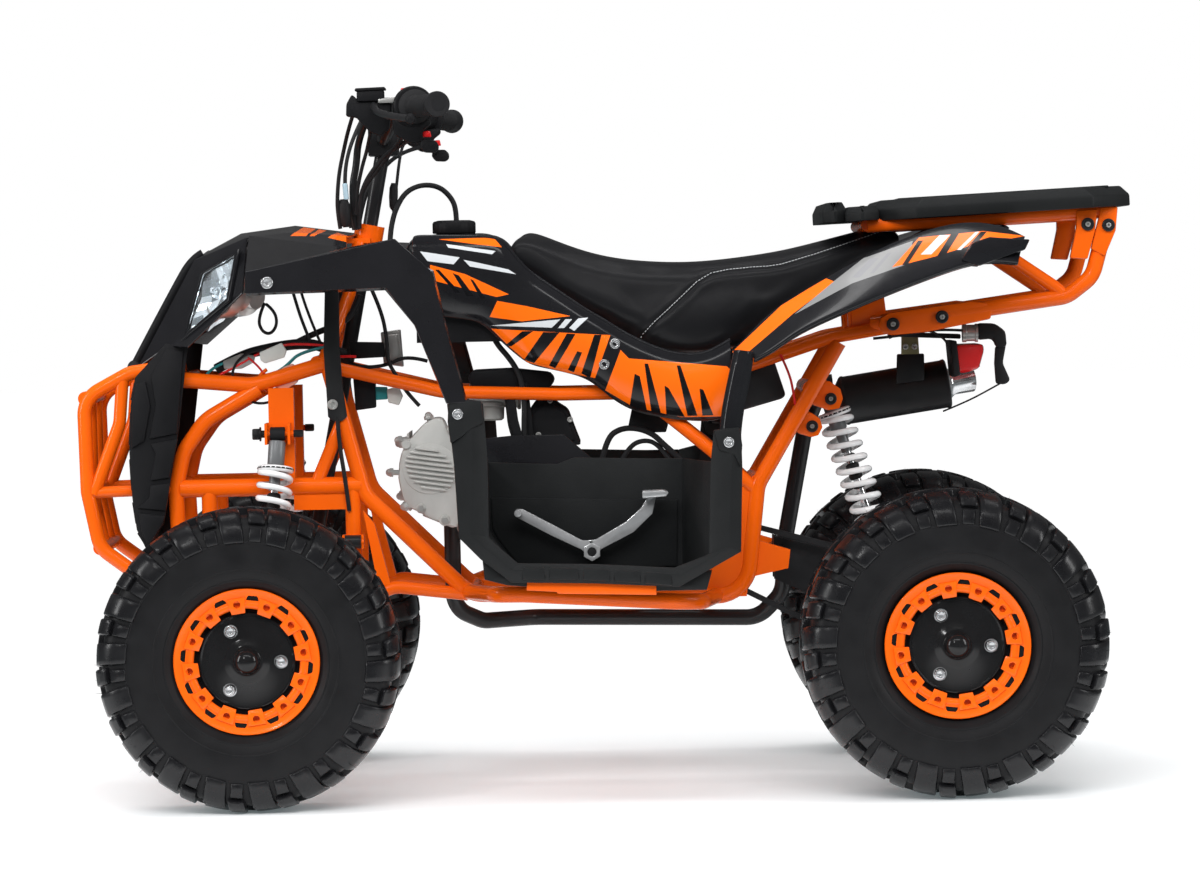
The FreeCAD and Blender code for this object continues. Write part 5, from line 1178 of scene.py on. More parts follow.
for side_name, side in SIDES:
    points, faces = [], []
    for outer, ridge, lip in channel:
        points += [(outer[0], 384, outer[1]), (outer[0], 396, outer[1]), (ridge[0], 401, ridge[1]),
            (lip[0], 393, lip[1])]
    inner_at = {}
    for i, (x, z) in deep.items():
        inner_at[i] = len(points)
        points.append((x, 190, z))
    for i in range(len(channel) - 1):
        faces += [(4 * i + k, 4 * i + k + 1, 4 * i + k + 5, 4 * i + k + 4) for k in range(3)]
        if 1 <= i <= 7:
            faces.append((4 * i + 3, inner_at[i], inner_at[i + 1], 4 * i + 7))
    top_line = [(-68, 529), (50, 533), (77, 523)]
    tops = list(range(len(points), len(points) + 3))
    points += [(x, 190, z) for x, z in top_line]
    faces.append(tuple(inner_at[i] for i in range(1, 9)) + tuple(tops))
    points = [millimetres(x, y * side, z) for x, y, z in points]
    if side < 0:
        faces = [face[::-1] for face in faces]
    tray = mesh_piece("footwell_tray_" + side_name, points, faces)
    applied(tray, "SOLIDIFY", thickness=0.003, offset=-1)
    parts = [bevelled(tray, 0.0016, 2, 14)]
    parts.append(block_of("footwell_inset", [(184, 471), (-114, 462), (-111, 356), (137, 356),
                (174, 405), (183, 424)], 190.5 * side, 194 * side, 0.0012))
    parts.append(block_of("footwell_skirt", [(196, 386), (193, 352), (157, 342), (129, 340), (-74, 329),
                (-154, 329), (-163, 360), (-110, 345), (150, 358)], 370 * side, 383 * side, 0.0015))
    for low_x, high_x in ((98, 134), (45, 92), (-3, 39), (-51, -9), (-100, -57)):
        parts.append(block_of("footwell_rib", [(low_x, lip_z(low_x, 352)), (high_x, lip_z(high_x, 352)),
                    (high_x - 1, lip_z(high_x, 371)), (low_x + 1, lip_z(low_x, 371))], 392 * side,
                404 * side, 0.0022))
    front_clamp = [(243, 634), (208, 634), (192, 632), (188, 598), (209, 588), (224, 576), (241, 566),
        (245, 600)]
    rear_clamp = [(-168, 579), (-209, 583), (-213, 555), (-210, 520), (-200, 540), (-176, 548)]
    for clamp in (front_clamp, rear_clamp):
        parts.append(block_of("footwell_clamp", clamp, 388 * side, 405 * side, 0.003))
    finished(joined(parts, "footwell_shell_" + side_name), grained, "footwell_" + side_name,
        slot="black_matt_plastic")
    tread_plate = block_of("tread_plate_" + side_name,
        [(126, 352), (-75, 341), (-75, 323), (79, 328), (81, 331), (128, 334)], 383.5 * side, 387 * side,
        0.001)
    finished(tread_plate, orange, slot="orange_frame")
    for end, x, z in (("front", 229, 612), ("rear", -192, 560)):
        screw("footwell_screw_%s_%s" % (end, side_name), (x, 404 * side, z), (0, side, 0), 8.5, 4.5, chrome)


# Shift lever: a forged heel-and-toe lever in polished chrome on its splined shaft.
forged = Paint("forged_chrome", metal=0.6, rough=0.2)
forged.worn((60, 4), (0.42, 0.43, 0.44), (0.66, 0.66, 0.67), ((130, 4), 0.2, 0.1))
lever = [block_of("lever_front", [(20, 402), (40, 402), (77, 423), (134, 454), (143, 454), (147, 447),
            (141, 439), (90, 411), (41, 387), (30, 376)], 226, 232, 0.0018),
    block_of("lever_rear", [(31, 402), (18, 403), (-30, 430), (-56, 453), (-66, 470), (-80, 470),
            (-73, 442), (-42, 413), (8, 388), (20, 376)], 226, 232, 0.0018),
    bevelled(drum("lever_toe", 0.006, 0.220, 0.262, 20, (0.141, 0.4480)), 0.0015, 2),
    block_of("lever_heel", [(-57, 468), (-95, 470), (-100, 477), (-91, 481), (-57, 480)], 224, 262,
        0.0025)]
LEVER_PIVOT = (0.0245, 0.3835)
nut = drum("lever_nut", 0.0150, 0.224, 0.2365, 6, LEVER_PIVOT)
nut = bevelled(cut_by(nut, drum("lever_nut_hole", 0.0072, 0.220, 0.240, 24, LEVER_PIVOT)), 0.001, 2)
finished(joined(lever + [nut], "shift_lever"), forged, "shift_pedal", angle=35, slot="chrome")
shaft = bevelled(drum("lever_shaft", 0.0078, 0.080, 0.2345, 24, LEVER_PIVOT), 0.0008, 2)
finished(shaft, black_steel, angle=40, slot="chrome")


# Handlebar controls: ribbed rubber grips, split switch housings with red buttons, brake levers on
# their perches with fluid boxes, and the sheathed cables that drop in front of the column.
def turned_bar(name, section, steps=32, closed=True):
    """A (radius, length) section in millimetres spun about the +Y axis."""
    return spun(name, [(r / 1000, t / 1000) for r, t in section], steps, closed=closed)


button_red = Paint("switch_red", rough=0.3, coat=0.3)
button_red.worn((80, 3), (0.55, 0.006, 0.008), (0.72, 0.012, 0.014))
grip_section = [(11.3, 0), (26, 0), (27.2, 1.5), (27.2, 5), (25.6, 6.6), (19.0, 9), (17.4, 14)]
for k in range(25):
    grip_section += [(16.7, 18 + 4 * k), (17.7, 19 + 4 * k), (17.7, 20.4 + 4 * k), (16.7, 21.2 + 4 * k)]
grip_section += [(17.2, 122), (18.8, 130), (20.2, 136), (20.4, 141), (19.2, 143.6), (5.2, 143.6),
    (2.6, 142), (2.6, 137), (0, 137), (0, 132), (11.3, 132)]
housing_section = [(11.4, -48), (22, -48), (25, -45), (25.6, -27), (24.6, -26.4), (24.6, -25.6),
    (25.6, -25), (26.5, -16), (31, -14), (33, -11), (33, -5), (31, -2.5), (20, -1.5), (11.4, -1.5)]
for side_name, side in SIDES:
    grip_start = Vector((290.9, 262 * side, 1096))
    grip_end = Vector((248.9, 404 * side, 1094))
    way = (grip_end - grip_start).normalized()
    grip = aimed(turned_bar("grip_" + side_name, grip_section, 40), grip_start, way)
    finished(grip, rubber, *(["grips"] if side > 0 else []), body="steering", angle=40, slot="rubber")
    hub = aimed(turned_bar("switch_drum", housing_section, 40), grip_start, way)
    parts = [smoothed(hub, 30)]
    parts.append(block_of("switch_box", [(328, 1078), (292, 1076), (267, 1077), (266, 1069), (279, 1059),
                (280, 1040), (299, 1038), (324, 1052)], 226 * side, 258 * side, 0.0035))
    parts.append(block_of("perch", [(392, 1119), (380, 1108), (328, 1109), (334, 1062), (350, 1052),
                (366, 1060), (386, 1082), (402, 1084), (401, 1104)], 200 * side, 224 * side, 0.003))
    parts.append(block_of("fluid_box", [(384, 1107), (384, 1124), (341, 1126), (341, 1107)], 192 * side,
            232 * side, 0.0035))
    parts.append(block_of("fluid_lid", [(387, 1123.5), (386, 1128), (339, 1129.5), (338, 1125)],
            189 * side, 235 * side, 0.0015))
    parts.append(block_of("thumb_paddle", [(281, 1042), (260, 1042), (254, 1036), (254, 1027),
                (260, 1022), (277, 1023), (283, 1031)], 258 * side, 290 * side, 0.003))
    parts.append(aimed(turned_bar("paddle_stem", [(0, 0), (4, 0), (4, 30), (0, 30)], 12),
            (279, 246 * side, 1042), (-0.1, 0.8 * side, -0.35)))
    blade = [grip_start + Vector((66, -30 * side, 4)), grip_start + Vector((64, 2 * side, -4)),
        grip_start + way * 30 + Vector((58, 0, -12)), grip_start + way * 80 + Vector((50, 0, -17)),
        grip_end + Vector((44, -6 * side, -22))]
    pipe("brake_lever_" + side_name, blade, 5.8, black_steel, "steering", sides=16)
    ball = turned_bar("lever_ball", [(8.6 * math.sin(k * math.pi / 8), -8.6 * math.cos(k * math.pi / 8))
            for k in range(9)], 20, closed=False)
    parts.append(aimed(ball, blade[-1], (0, 1, 0)))
    for vertical in (1065, 1096):
        parts.append(aimed(turned_bar("perch_bolt", [(0, 0), (4.2, 0), (4.2, 5), (3.4, 6), (0, 6)], 12),
                (397 if vertical > 1080 else 352, 212 * side, vertical), (0, side, 0)))
    controls = joined(parts, "hand_controls_" + side_name)
    finished(controls, matt_black, *(["hand_controls"] if side > 0 else []), body="steering",
        slot="black_matt_plastic")
    plate_shine = block_of("perch_plate_" + side_name,
        [(350, 1110), (326, 1113), (318, 1108), (322, 1104), (350, 1104)], 198 * side, 234 * side, 0.001)
    finished(plate_shine, zinc, body="steering")
    for name, corners, y0, y1 in (
            ("stop", [(313, 1118), (313, 1126), (299, 1127), (298, 1116)], 232, 250),
            ("horn", [(290, 1112), (290, 1119), (283, 1119), (281, 1111)], 236, 252),
            ("start", [(266, 1048), (280, 1048), (280, 1057), (268, 1058)], 238, 246)):
        button = block_of("button_%s_%s" % (name, side_name), corners, y0 * side, y1 * side, 0.0015)
        finished(button, button_red, body="steering")
cable_runs = [
    ("brake_hose", 3.4, rubber, [(392, 150, 1096), (404, 110, 1068), (414, 74, 1036), (423, 62, 1000),
            (427, 56, 965), (428, 50, 936), (424, 46, 908)]),
    ("loom_sheath", 6.2, black_steel, [(378, 90, 1078), (392, 52, 1050), (396, 42, 1009), (402, 38, 985),
            (403, 34, 960), (402, 30, 931), (400, 27, 906)]),
    ("throttle_cable", 4.2, rubber, [(300, 226, 1046), (318, 150, 1040), (344, 100, 1026),
            (370, 76, 998), (384, 60, 975), (391, 48, 953), (394, 34, 908)]),
    ("choke_cable", 3.4, rubber, [(312, 220, 1050), (330, 120, 1036), (354, 86, 1007), (380, 64, 980),
            (391, 50, 956), (396, 40, 930)]),
    ("clutch_cable", 3.2, rubber, [(366, 130, 1070), (374, 84, 1040), (384, 68, 1012), (391, 58, 987),
            (396, 48, 962), (399, 40, 930)]),
    ("far_hose", 3.4, rubber, [(392, -150, 1096), (406, -100, 1064), (418, -60, 1020), (420, -40, 980),
            (416, -28, 940), (410, -24, 910)]),
    ("far_throttle", 3.6, rubber, [(300, -226, 1046), (330, -120, 1036), (366, -70, 1000),
            (390, -40, 960), (398, -20, 908)]),
    ("switch_lead", 2.6, rubber, [(320, -190, 1060), (326, -90, 1046), (330, -30, 1010), (334, -22, 975),
            (340, -20, 935)]),
]
for i, (name, radius, paint, run) in enumerate(cable_runs):
    made = pipe(name, run, radius, paint, "steering")
    if i == 0:
        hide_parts("control_cables")
for name, radius, at, facing, length in (
        ("loom_boot", 9.5, (418, 48, 956), (-0.08, -0.04, -1), 46),
        ("lead_boot", 7.0, (338, -20, 982), (0.05, 0, -1), 44)):
    boot = turned_bar(name, [(0, 0), (radius * 0.6, 0), (radius, 8), (radius * 1.06, length * 0.5),
            (radius * 0.9, length - 5), (radius * 0.5, length), (0, length)], 20)
    finished(aimed(boot, at, facing), rubber, body="steering", angle=40)
pale_blue = Paint("pale_blue_nylon", rough=0.4)
pale_blue.worn((90, 3), (0.34, 0.50, 0.60), (0.46, 0.62, 0.70))
finished(block_of("loom_connector", [(409, 955), (417, 955), (419, 981), (411, 982)], 42, 54, 0.0015),
    pale_blue, body="steering")
for side_name, side in SIDES:
    for x in (338, 366):
        screw("clamp_bolt_%d_%s" % (x, side_name), (x, 22 * side, 1071), (0, 0, 1), 6, 6, zinc, "steering")
finish_node(black_steel, "control_cables")


# Shock absorbers: white coil springs of thick round wire over a grey reservoir and a chrome rod, with
# rubber-bushed eyes. Hexagon bolts hold the front pair at the towers.
damper_grey = Paint("grey_damper_paint", rough=0.35, metal=0.3)
damper_grey.worn((50, 4), (0.13, 0.135, 0.14), (0.2, 0.205, 0.21))


def coil(name, low, high, radius, wire, turns):
    """A helix along +Y between two lengths, its end turns closed flat, all in millimetres."""
    points = []
    steps = int(turns * 22)
    for k in range(steps + 1):
        share = k / steps
        rise = min(1.0, max(0.0, (share * turns - 0.8) / (turns - 1.6)))
        turned = share * turns * math.tau
        points.append((radius * math.cos(turned), low + (high - low) * rise + wire * 1.6 * (share - 0.5),
                radius * math.sin(turned)))
    return smoothed(wire_along(name, "POLY", points, wire, 2), 60)


for name, top, foot, across, spring_low, spring_high, turns in (
        ("front_left", (526.4, 152, 579), (549.4, 205, 265), (1, 0, 0), 62, 32, 12.6),
        ("front_right", (526.4, -152, 579), (549.4, -205, 265), (1, 0, 0), 62, 32, 12.6),
        ("rear", (-368.6, 0, 614), (-462.6, 0, 332), (0, 1, 0), 30, 42, 12.0)):
    top, foot = Vector(top), Vector(foot)
    way = (foot - top).normalized()
    length = (foot - top).length
    spring = aimed(coil("spring_" + name, spring_low, length - spring_high, 24.6, 5.2, turns), top, way)
    placed(spring, white, "chassis", *(["shock_springs"] if name == "rear" else []), slot="white_spring")
    reservoir = turned_bar("damper_" + name, [(0, 12), (12.6, 12), (13.6, 14), (13.6, 52), (12.4, 54),
            (9, 56), (9, 92), (0, 92)], 32)
    finished(aimed(reservoir, top, way), damper_grey, *(["shock_bodies"] if name == "rear" else []),
        angle=40, slot="damper_steel")
    rod = turned_bar("damper_rod_" + name, [(0, 80), (6.5, 80), (6.5, length - 90), (0, length - 90)], 24)
    finished(aimed(rod, top, way), chrome, angle=40, slot="damper_steel")
    lower = turned_bar("damper_tube_" + name, [(0, length - 110), (9, length - 110),
            (11.6, length - 106), (11.6, length - 34), (28.5, length - 30), (29.5, length - 27),
            (28, length - 24), (12, length - 22), (10, length - 12), (0, length - 12)], 32)
    finished(aimed(lower, top, way), black_steel, angle=40, slot="damper_steel")
    cups = [turned_bar("spring_cup", [(9, spring_low - 8), (22, spring_low - 8), (29, spring_low - 6),
                (30, spring_low - 3.5), (26, spring_low - 4), (9, spring_low - 5)], 32)]
    for t in (96, 112, 128, 144):
        cups.append(turned_bar("bump_ring", [(6.7, t), (10.5, t + 2), (11.5, t + 6), (10.5, t + 10),
                    (6.7, t + 12)], 24))
    finished(aimed(joined(cups, "spring_cups_" + name), top, way), rubber, angle=40)
    eyes = []
    for centre in (top, foot):
        eye = turned_bar("shock_eye", [(5.3, -12), (10, -12), (11, -11), (11, 11), (10, 12), (5.3, 12)], 28)
        eyes.append(aimed(eye, centre, across))
    finished(joined(eyes, "shock_eyes_" + name), rubber, angle=40)
for side_name, side in SIDES:
    bolt = [aimed(turned_bar("bolt_head", [(0, 0), (9.2, 0), (10.2, 1.5), (10.2, 10), (9, 12), (0, 12)],
                6), (555, 152 * side, 579), (1, 0, 0)),
        aimed(turned_bar("bolt_neck", [(0, 0), (6, 0), (6, 9), (11.5, 9), (11.5, 11.5), (0, 11.5)], 24),
            (544, 152 * side, 579), (1, 0, 0)),
        aimed(turned_bar("bolt_end", [(0, 0), (6.2, 0), (6.2, 13), (5, 15), (0, 15)], 20),
            (500.6, 152 * side, 579), (-1, 0, 0))]
    finished(joined(bolt, "tower_bolt_" + side_name), black_steel, angle=35)


# Engine: cast aluminium crankcase, a forward cylinder with cooling fins and a finned side cover. Dome
# nuts close its studs, and a black header pipe drops from the head.
casting = Paint("grey_cast_aluminium", metal=0.4, rough=0.42)
casting.worn((28, 6), (0.42, 0.42, 0.405), (0.60, 0.595, 0.57), ((120, 4), 0.25, 0.34),
    ((700, 3), 0.28, 0.0008))
case = [
    block_of("crankcase", [(-84, 404), (-58, 364), (0, 354), (150, 354), (204, 372), (244, 414),
            (246, 470), (214, 545), (150, 560), (70, 561), (30, 524), (-40, 492), (-80, 468)], -88, 86,
        0.007, 15),
    block_of("case_flange", [(-20, 398), (20, 372), (140, 366), (214, 392), (238, 440), (214, 520),
            (140, 540), (30, 506), (-14, 470)], 84, 92, 0.003, 15),
    block_of("side_cover", [(292, 590), (276, 599), (262, 598), (252, 574), (236, 560), (226, 470),
            (242, 418), (284, 434), (304, 446), (320, 454), (329, 466), (333, 484), (336, 502),
            (334, 526), (330, 544), (320, 560), (306, 576)], 40, 106, 0.006, 15),
    block_of("head_block", [(298, 580), (240, 580), (236, 430), (298, 440), (322, 462), (328, 520),
            (320, 556)], -64, 42, 0.005, 15)]
for k in range(8):
    x = 318 - 11 * k
    case.append(block_of("cylinder_fin", [(x, 446), (x + 4, 448), (x + 4, 572), (x, 574)], -74, 74, 0.0008))
COVER_X, COVER_Z, COVER_LEAN = 284, 516, math.radians(-8)
for k in range(9):
    v = -32 + 8 * k
    reach = 40 * math.sqrt(max(0.0, 1 - (v / 37.0) ** 2))
    corners = [(COVER_X + s * math.cos(COVER_LEAN) - t * math.sin(COVER_LEAN),
            COVER_Z - s * math.sin(COVER_LEAN) + t * math.cos(COVER_LEAN))
        for s, t in ((-reach, v - 2.0), (reach, v - 2.0), (reach, v + 2.0), (-reach, v + 2.0))]
    case.append(block_of("cover_fin", corners, 104, 114, 0.0012))
turns = [math.tau * k / 28 for k in range(28)]
case.append(block_of("cover_oval", [(COVER_X + 45 * math.cos(t), COVER_Z + 41 * math.sin(t))
            for t in turns], 104, 108, 0.0015, 15))
for x, z, r in ((262, 432, 9), (300, 452, 8), (246, 580, 9), (322, 556, 8), (130, 384, 9), (40, 392, 9)):
    case.append(aimed(turned_bar("case_boss", [(0, 0), (r, 0), (r, 14), (r - 1.5, 16), (0, 16)], 20),
            (x, 94, z), (0, 1, 0)))
for y in (-52, 48):
    for z in (470, 556):
        case.append(aimed(turned_bar("head_boss", [(0, 0), (9, 0), (8, 18), (0, 18)], 20), (312, y, z),
                (1, 0, 0)))
case.append(block_of("drain_sump", [(300, 440), (248, 418), (240, 430), (280, 452)], 20, 96, 0.004))
case.append(aimed(turned_bar("clutch_cover", [(0, 0), (66, 0), (68, 4), (60, 9), (22, 10), (20, 12),
                (0, 12)], 48), (60, -84, 440), (0, -1, 0)))
finished(joined(case, "engine_castings"), casting, "engine", slot="cast_aluminium")
nuts = []
for x, y, z, way in ((329, 100, 563, (1, 0, 0.02)), (344, 100, 511, (1, 0, 0.04)),
        (322, 100, 457, (1, 0, -0.3)),
        (284, 96, 596, (0.2, 0, 1)), (330, -52, 470, (1, 0, 0)), (330, -52, 556, (1, 0, 0)),
        (330, 48, 470, (1, 0, 0)), (330, 48, 556, (1, 0, 0))):
    stud = turned_bar("dome_stud", [(0, -26), (4.4, -26), (4.4, 0), (0, 0)], 14)
    nut_body = turned_bar("dome_hex", [(0, 0), (8.2, 0), (8.2, 5), (7, 6.5), (0, 6.5)], 6)
    dome = turned_bar("dome_cap", [(6.2 * math.cos(k * math.pi / 12),
                6 + 6.2 * math.sin(k * math.pi / 12)) for k in range(7)] + [(0, 6)], 18)
    nuts.append(aimed(joined([stud, nut_body, dome], "dome_nut"), (x, y, z), way))
for x, z in ((130, 384), (40, 392), (262, 432), (300, 452)):
    nuts.append(aimed(turned_bar("case_bolt", [(0, 0), (6, 0), (6, 4), (5, 5), (0, 5)], 6), (x, 109, z),
            (0, 1, 0)))
finished(joined(nuts, "engine_nuts"), zinc, angle=35)
finish_node(casting, "engine")
drive_gear = turned_bar("drive_gear", [(0, -30), (9, -30), (9, 0), (22, 0), (22, 3), (29, 4.5),
        (29, 9.5), (22, 11), (20, 14), (0, 14)], 24)
finished(aimed(drive_gear, (-76.6, 55, 420), (0, 1, 0)), zinc, angle=35)


# Intake: a cast carburettor with its float bowl and black cap, a black filter box and stays, and the
# moulded duct under the tank.
bowl = [turned_bar("float_bowl", [(0, -44), (15, -44), (19, -41), (20, -22), (23, -20), (23, -14),
            (18, -12), (18, 10), (0, 10)], 32)]
bowl[0] = aimed(bowl[0], (183, 24, 634), (0, 0, 1))
throat = turned_bar("carb_throat", [(15, -44), (20, -44), (21, -40), (17, -36), (17, 30), (22, 34),
        (22, 40), (15, 40)], 32)
bowl.append(aimed(throat, (180, 24, 628), (1, 0, 0)))
bowl.append(block_of("carb_lug", [(206, 640), (206, 622), (160, 620), (160, 642)], 4, 44, 0.003))
finished(joined(bowl, "carburettor_body"), casting, "carburettor", angle=35, slot="cast_aluminium")
caps = [aimed(turned_bar("carb_cap", [(0, 0), (20, 0), (21, 3), (19, 14), (10, 17), (0, 17)], 28),
        (183, 24, 641), (0, 0, 1)),
    block_of("duct", [(222, 660), (210, 640), (168, 629), (110, 634), (88, 642), (78, 656), (86, 668),
            (150, 676), (214, 674)], 16, 66, 0.006, 12),
    block_of("filter_cover", [(127, 600), (114, 618), (97, 634), (85, 634), (78, 618), (59, 606),
            (47, 572), (38, 548), (127, 548)], -58, 58, 0.005, 15),
    block_of("filter_face", [(120, 594), (92, 626), (84, 616), (64, 600), (52, 570), (48, 556),
            (118, 556)], 57, 61, 0.0025, 15),
    block_of("stay_long", [(159, 640), (154, 590), (137, 528), (124, 528), (140, 592), (146, 640)], 84,
        90, 0.0012),
    block_of("stay_short", [(134, 650), (128, 596), (122, 530), (113, 530), (118, 596), (124, 652)], 70,
        76, 0.0012),
    block_of("stay_foot", [(160, 540), (112, 520), (112, 528), (158, 549)], 70, 90, 0.0012)]
finished(joined(caps, "intake_covers"), matt_black, "air_box", slot="black_matt_plastic")
for name, x, z in (("upper", 88, 622), ("rear", 56, 590), ("front", 108, 566)):
    screw("filter_screw_" + name, (x, 60, z), (0, 1, 0), 4.8, 3.2, zinc)
pipe("fuel_hose", ((205, 30, 650), (232, 40, 640), (238, 44, 600), (226, 44, 560), (210, 30, 540)), 3.6,
    rubber)
pipe("vent_hose", ((160, 40, 650), (150, 60, 620), (142, 80, 570), (134, 88, 520), (130, 84, 470)), 3.4,
    rubber)


# Rack: a moulded black deck with chamfered edges, grip ribs and a stepped front. Its steel carrier has
# flattened ends and plates, and dark bolts hold them.
deck_tilt = Matrix.Translation(millimetres(-354.6, 0, 932)) @ Matrix.Rotation(math.radians(2.4), 4, "Y")


def deck_slab(name, start, end, half, cut, top, low, inset):
    """A chamfered eight-sided slab in the deck's own frame, its start and end measured rearward."""
    rings = []
    for pull, z in ((0, low), (0, (top + low) / 2 + 2), (inset, top)):
        a, b, y = start + pull, end - pull, half - pull
        rings += [(-a, -y + cut, z), (-a - cut, -y, z), (-b + cut, -y, z), (-b, -y + cut, z),
            (-b, y - cut, z), (-b + cut, y, z), (-a - cut, y, z), (-a, y - cut, z)]
    faces = [tuple(range(8)), tuple(range(16, 24))[::-1]]
    faces += [(8 * k + i, 8 * k + 8 + i, 8 * k + 8 + (i + 1) % 8, 8 * k + (i + 1) % 8)
        for k in range(2) for i in range(8)]
    return bevelled(outward(mesh_piece(name, [millimetres(*p) for p in rings], faces)), 0.0025, 2, 20)


def bolt_and_stud(name, at, side, bolt_radius, stud_radius):
    """A dark bolt that faces out from a side, with the end of its bare stud in the middle."""
    screw(name % "bolt", at, (0, side, 0), bolt_radius, 6, black_steel, sides=28)
    screw(name % "stud", at, (0, side, 0), stud_radius, 7.5, zinc)


deck = [deck_slab("deck_main", 82, 496, 215, 66, -1, -34, 13),
    deck_slab("deck_step", 36, 90, 205, 24, -9, -32, 5),
    deck_slab("deck_front", 0, 40, 186, 18, 0, -32, 7)]
for k in range(-4, 5):
    deck.append(deck_slab("deck_rib", 122, 462, 7, 5, 0.6, -4, 2))
    deck[-1].data.transform(Matrix.Translation((0, 0.040 * k, 0)))
deck = joined(deck, "rack_top")
deck.data.transform(deck_tilt)
finished(deck, grained, "rack_deck", angle=25, slot="black_matt_plastic")
for side_name, side in SIDES:
    ends = [block_of("rack_lug", [(-443, 733), (-446, 746), (-459, 754), (-593, 770), (-618, 767),
                (-626, 755), (-623, 741), (-597, 736), (-520, 722), (-464, 718), (-450, 722)],
            150 * side, 162 * side, 0.003, 20),
        block_of("rack_end_front", [(-763, 912), (-797, 914), (-793, 879), (-780, 834), (-752, 836),
                (-763, 885)], 150 * side, 166 * side, 0.0025),
        block_of("rack_end_rear", [(-802, 917), (-830, 917), (-826, 879), (-808, 838), (-786, 850),
                (-799, 898)], 150 * side, 166 * side, 0.0025),
        block_of("seat_gusset", [(-401, 769), (-455, 788), (-460, 744), (-403, 730)], 102 * side,
            110 * side, 0.002),
        block_of("gusset_flange", [(-400, 769), (-396, 768), (-398, 728), (-402, 728)], 84 * side,
            110 * side, 0.001)]
    finished(joined(ends, "rack_plates_" + side_name), orange)
    for i, (x, y, z) in enumerate(((-466, 162, 736), (-545, 162, 746), (-781, 166, 890), (-814, 166, 888))):
        bolt_and_stud("rack_%s_{}_{}".format(i, side_name), (x, y * side, z), side, 10.5, 4.2)


# Silencer and tail light: a rolled black can with a slash-cut chrome outlet, hung from a plated bracket.
# The red lamp stands above it with its bulb holder, trailer plug and rubber strap.
can_start, can_end = Vector((-396, -100, 607)), Vector((-573, -100, 633))
can_way = (can_end - can_start).normalized()
can_length = (can_end - can_start).length
can = turned_bar("silencer", [(0, -12), (16, -12), (30, -6), (39, 0), (41, 3), (41, 6), (40, 8),
        (40, can_length - 8), (41, can_length - 6), (41, can_length - 2), (38, can_length),
        (30, can_length - 4), (0, can_length - 4)], 48)
satin = Paint("satin_black_can", rough=0.42, Specular_IOR_Level=0.4)
satin.worn((26, 5), (0.008, 0.008, 0.009), (0.018, 0.018, 0.019), ((60, 5), 0.2, 0.32))
finished(aimed(can, can_start, can_way), satin, "muffler", angle=40, slot="black_steel")
outlet = turned_bar("outlet", [(18, -6), (27, -6), (27.5, 0), (24, 3), (20.5, 8), (20.5, 40), (19, 41),
        (18, 40)], 40)
for vertex in outlet.data.vertices:
    if vertex.co.y > 0.03:
        vertex.co.y += vertex.co.x * 0.25
finished(aimed(outlet, can_end, can_way), chrome, angle=40, slot="chrome")
brass = Paint("passivated_steel", metal=0.8, rough=0.4)
brass.worn((30, 5), (0.20, 0.17, 0.08), (0.36, 0.32, 0.18))
hanger = [block_of("can_hanger", [(-494, 724), (-521, 724), (-523, 683), (-493, 683)], -62, -58, 0.001),
    block_of("can_hanger_top", [(-490, 721), (-525, 721), (-525, 726), (-490, 726)], -112, -56, 0.001)]
finished(joined(hanger, "can_hanger"), brass)
finished(block_of("can_strap", [(-486, 684), (-531, 684), (-531, 640), (-484, 634)], -66, -58, 0.0025),
    satin)
for i, x in enumerate((-500, -515)):
    screw("can_bolt_%d" % i, (x, -57, 696), (0, 1, 0), 5, 5, zinc)
lamp_parts = [block_of("tail_lens", [(-574, 699), (-619, 700), (-621, 690), (-612, 660), (-596, 654),
            (-579, 652)], -58, 58, 0.005, 20)]
for k in range(-3, 4):
    lamp_parts.append(block_of("tail_rib", [(-588, 697), (-620, 698), (-614, 662), (-598, 656)],
            14 * k - 1.2, 14 * k + 1.2, 0.0008))
finished(joined(lamp_parts, "tail_lens"), red, slot="red_lamp")
backs = [block_of("tail_back", [(-566, 706), (-576, 706), (-581, 650), (-571, 646)], -60, 60, 0.002),
    block_of("tail_stem", [(-468, 722), (-586, 716), (-586, 708), (-468, 714)], -18, 18, 0.002),
    block_of("plug_elbow", [(-608, 734), (-638, 733), (-655, 720), (-657, 694), (-640, 692), (-634, 708),
            (-608, 706)], 50, 72, 0.006, 15),
    block_of("tether", [(-638, 696), (-656, 698), (-650, 668), (-662, 640), (-654, 633), (-638, 634),
            (-636, 668)], 56, 66, 0.004, 15)]
finished(joined(backs, "tail_bracket"), rubber, "tail_light", slot="black_matt_plastic")
socket_ring = turned_bar("bulb_holder", [(0, 0), (15, 0), (15, 6), (13.5, 7), (13.5, 20), (15, 21),
        (15, 25), (0, 25)], 28)
finished(aimed(socket_ring, (-585, 61, 718), (-1, 0, 0)), lamp_silver, angle=40)
for name, radius, paint, run in (
        ("tail_lead", 2.2, rubber, [(-468, 30, 712), (-500, 50, 728), (-540, 56, 722), (-566, 58, 700),
                (-570, 50, 668)]),
        ("plug_lead", 2.6, rubber, [(-440, 60, 712), (-490, 64, 716), (-540, 60, 726), (-590, 60, 722)]),
        ("tether_lead", 1.5, rubber, [(-655, 62, 640), (-628, 70, 626), (-590, 60, 606),
                (-556, 10, 590)]),
        ("frame_lead", 2.0, button_red, [(-286, 118, 690), (-300, 124, 660), (-306, 122, 628),
                (-310, 118, 600)])):
    pipe(name, run, radius, paint, sides=10)
battery_side = [(-224, 700), (-274, 690), (-295, 624), (-290, 618), (-224, 600)]
finished(block_of("battery_case", battery_side, -78, 88, 0.004, 20), satin, "battery_box", angle=25,
    slot="black_matt_plastic")


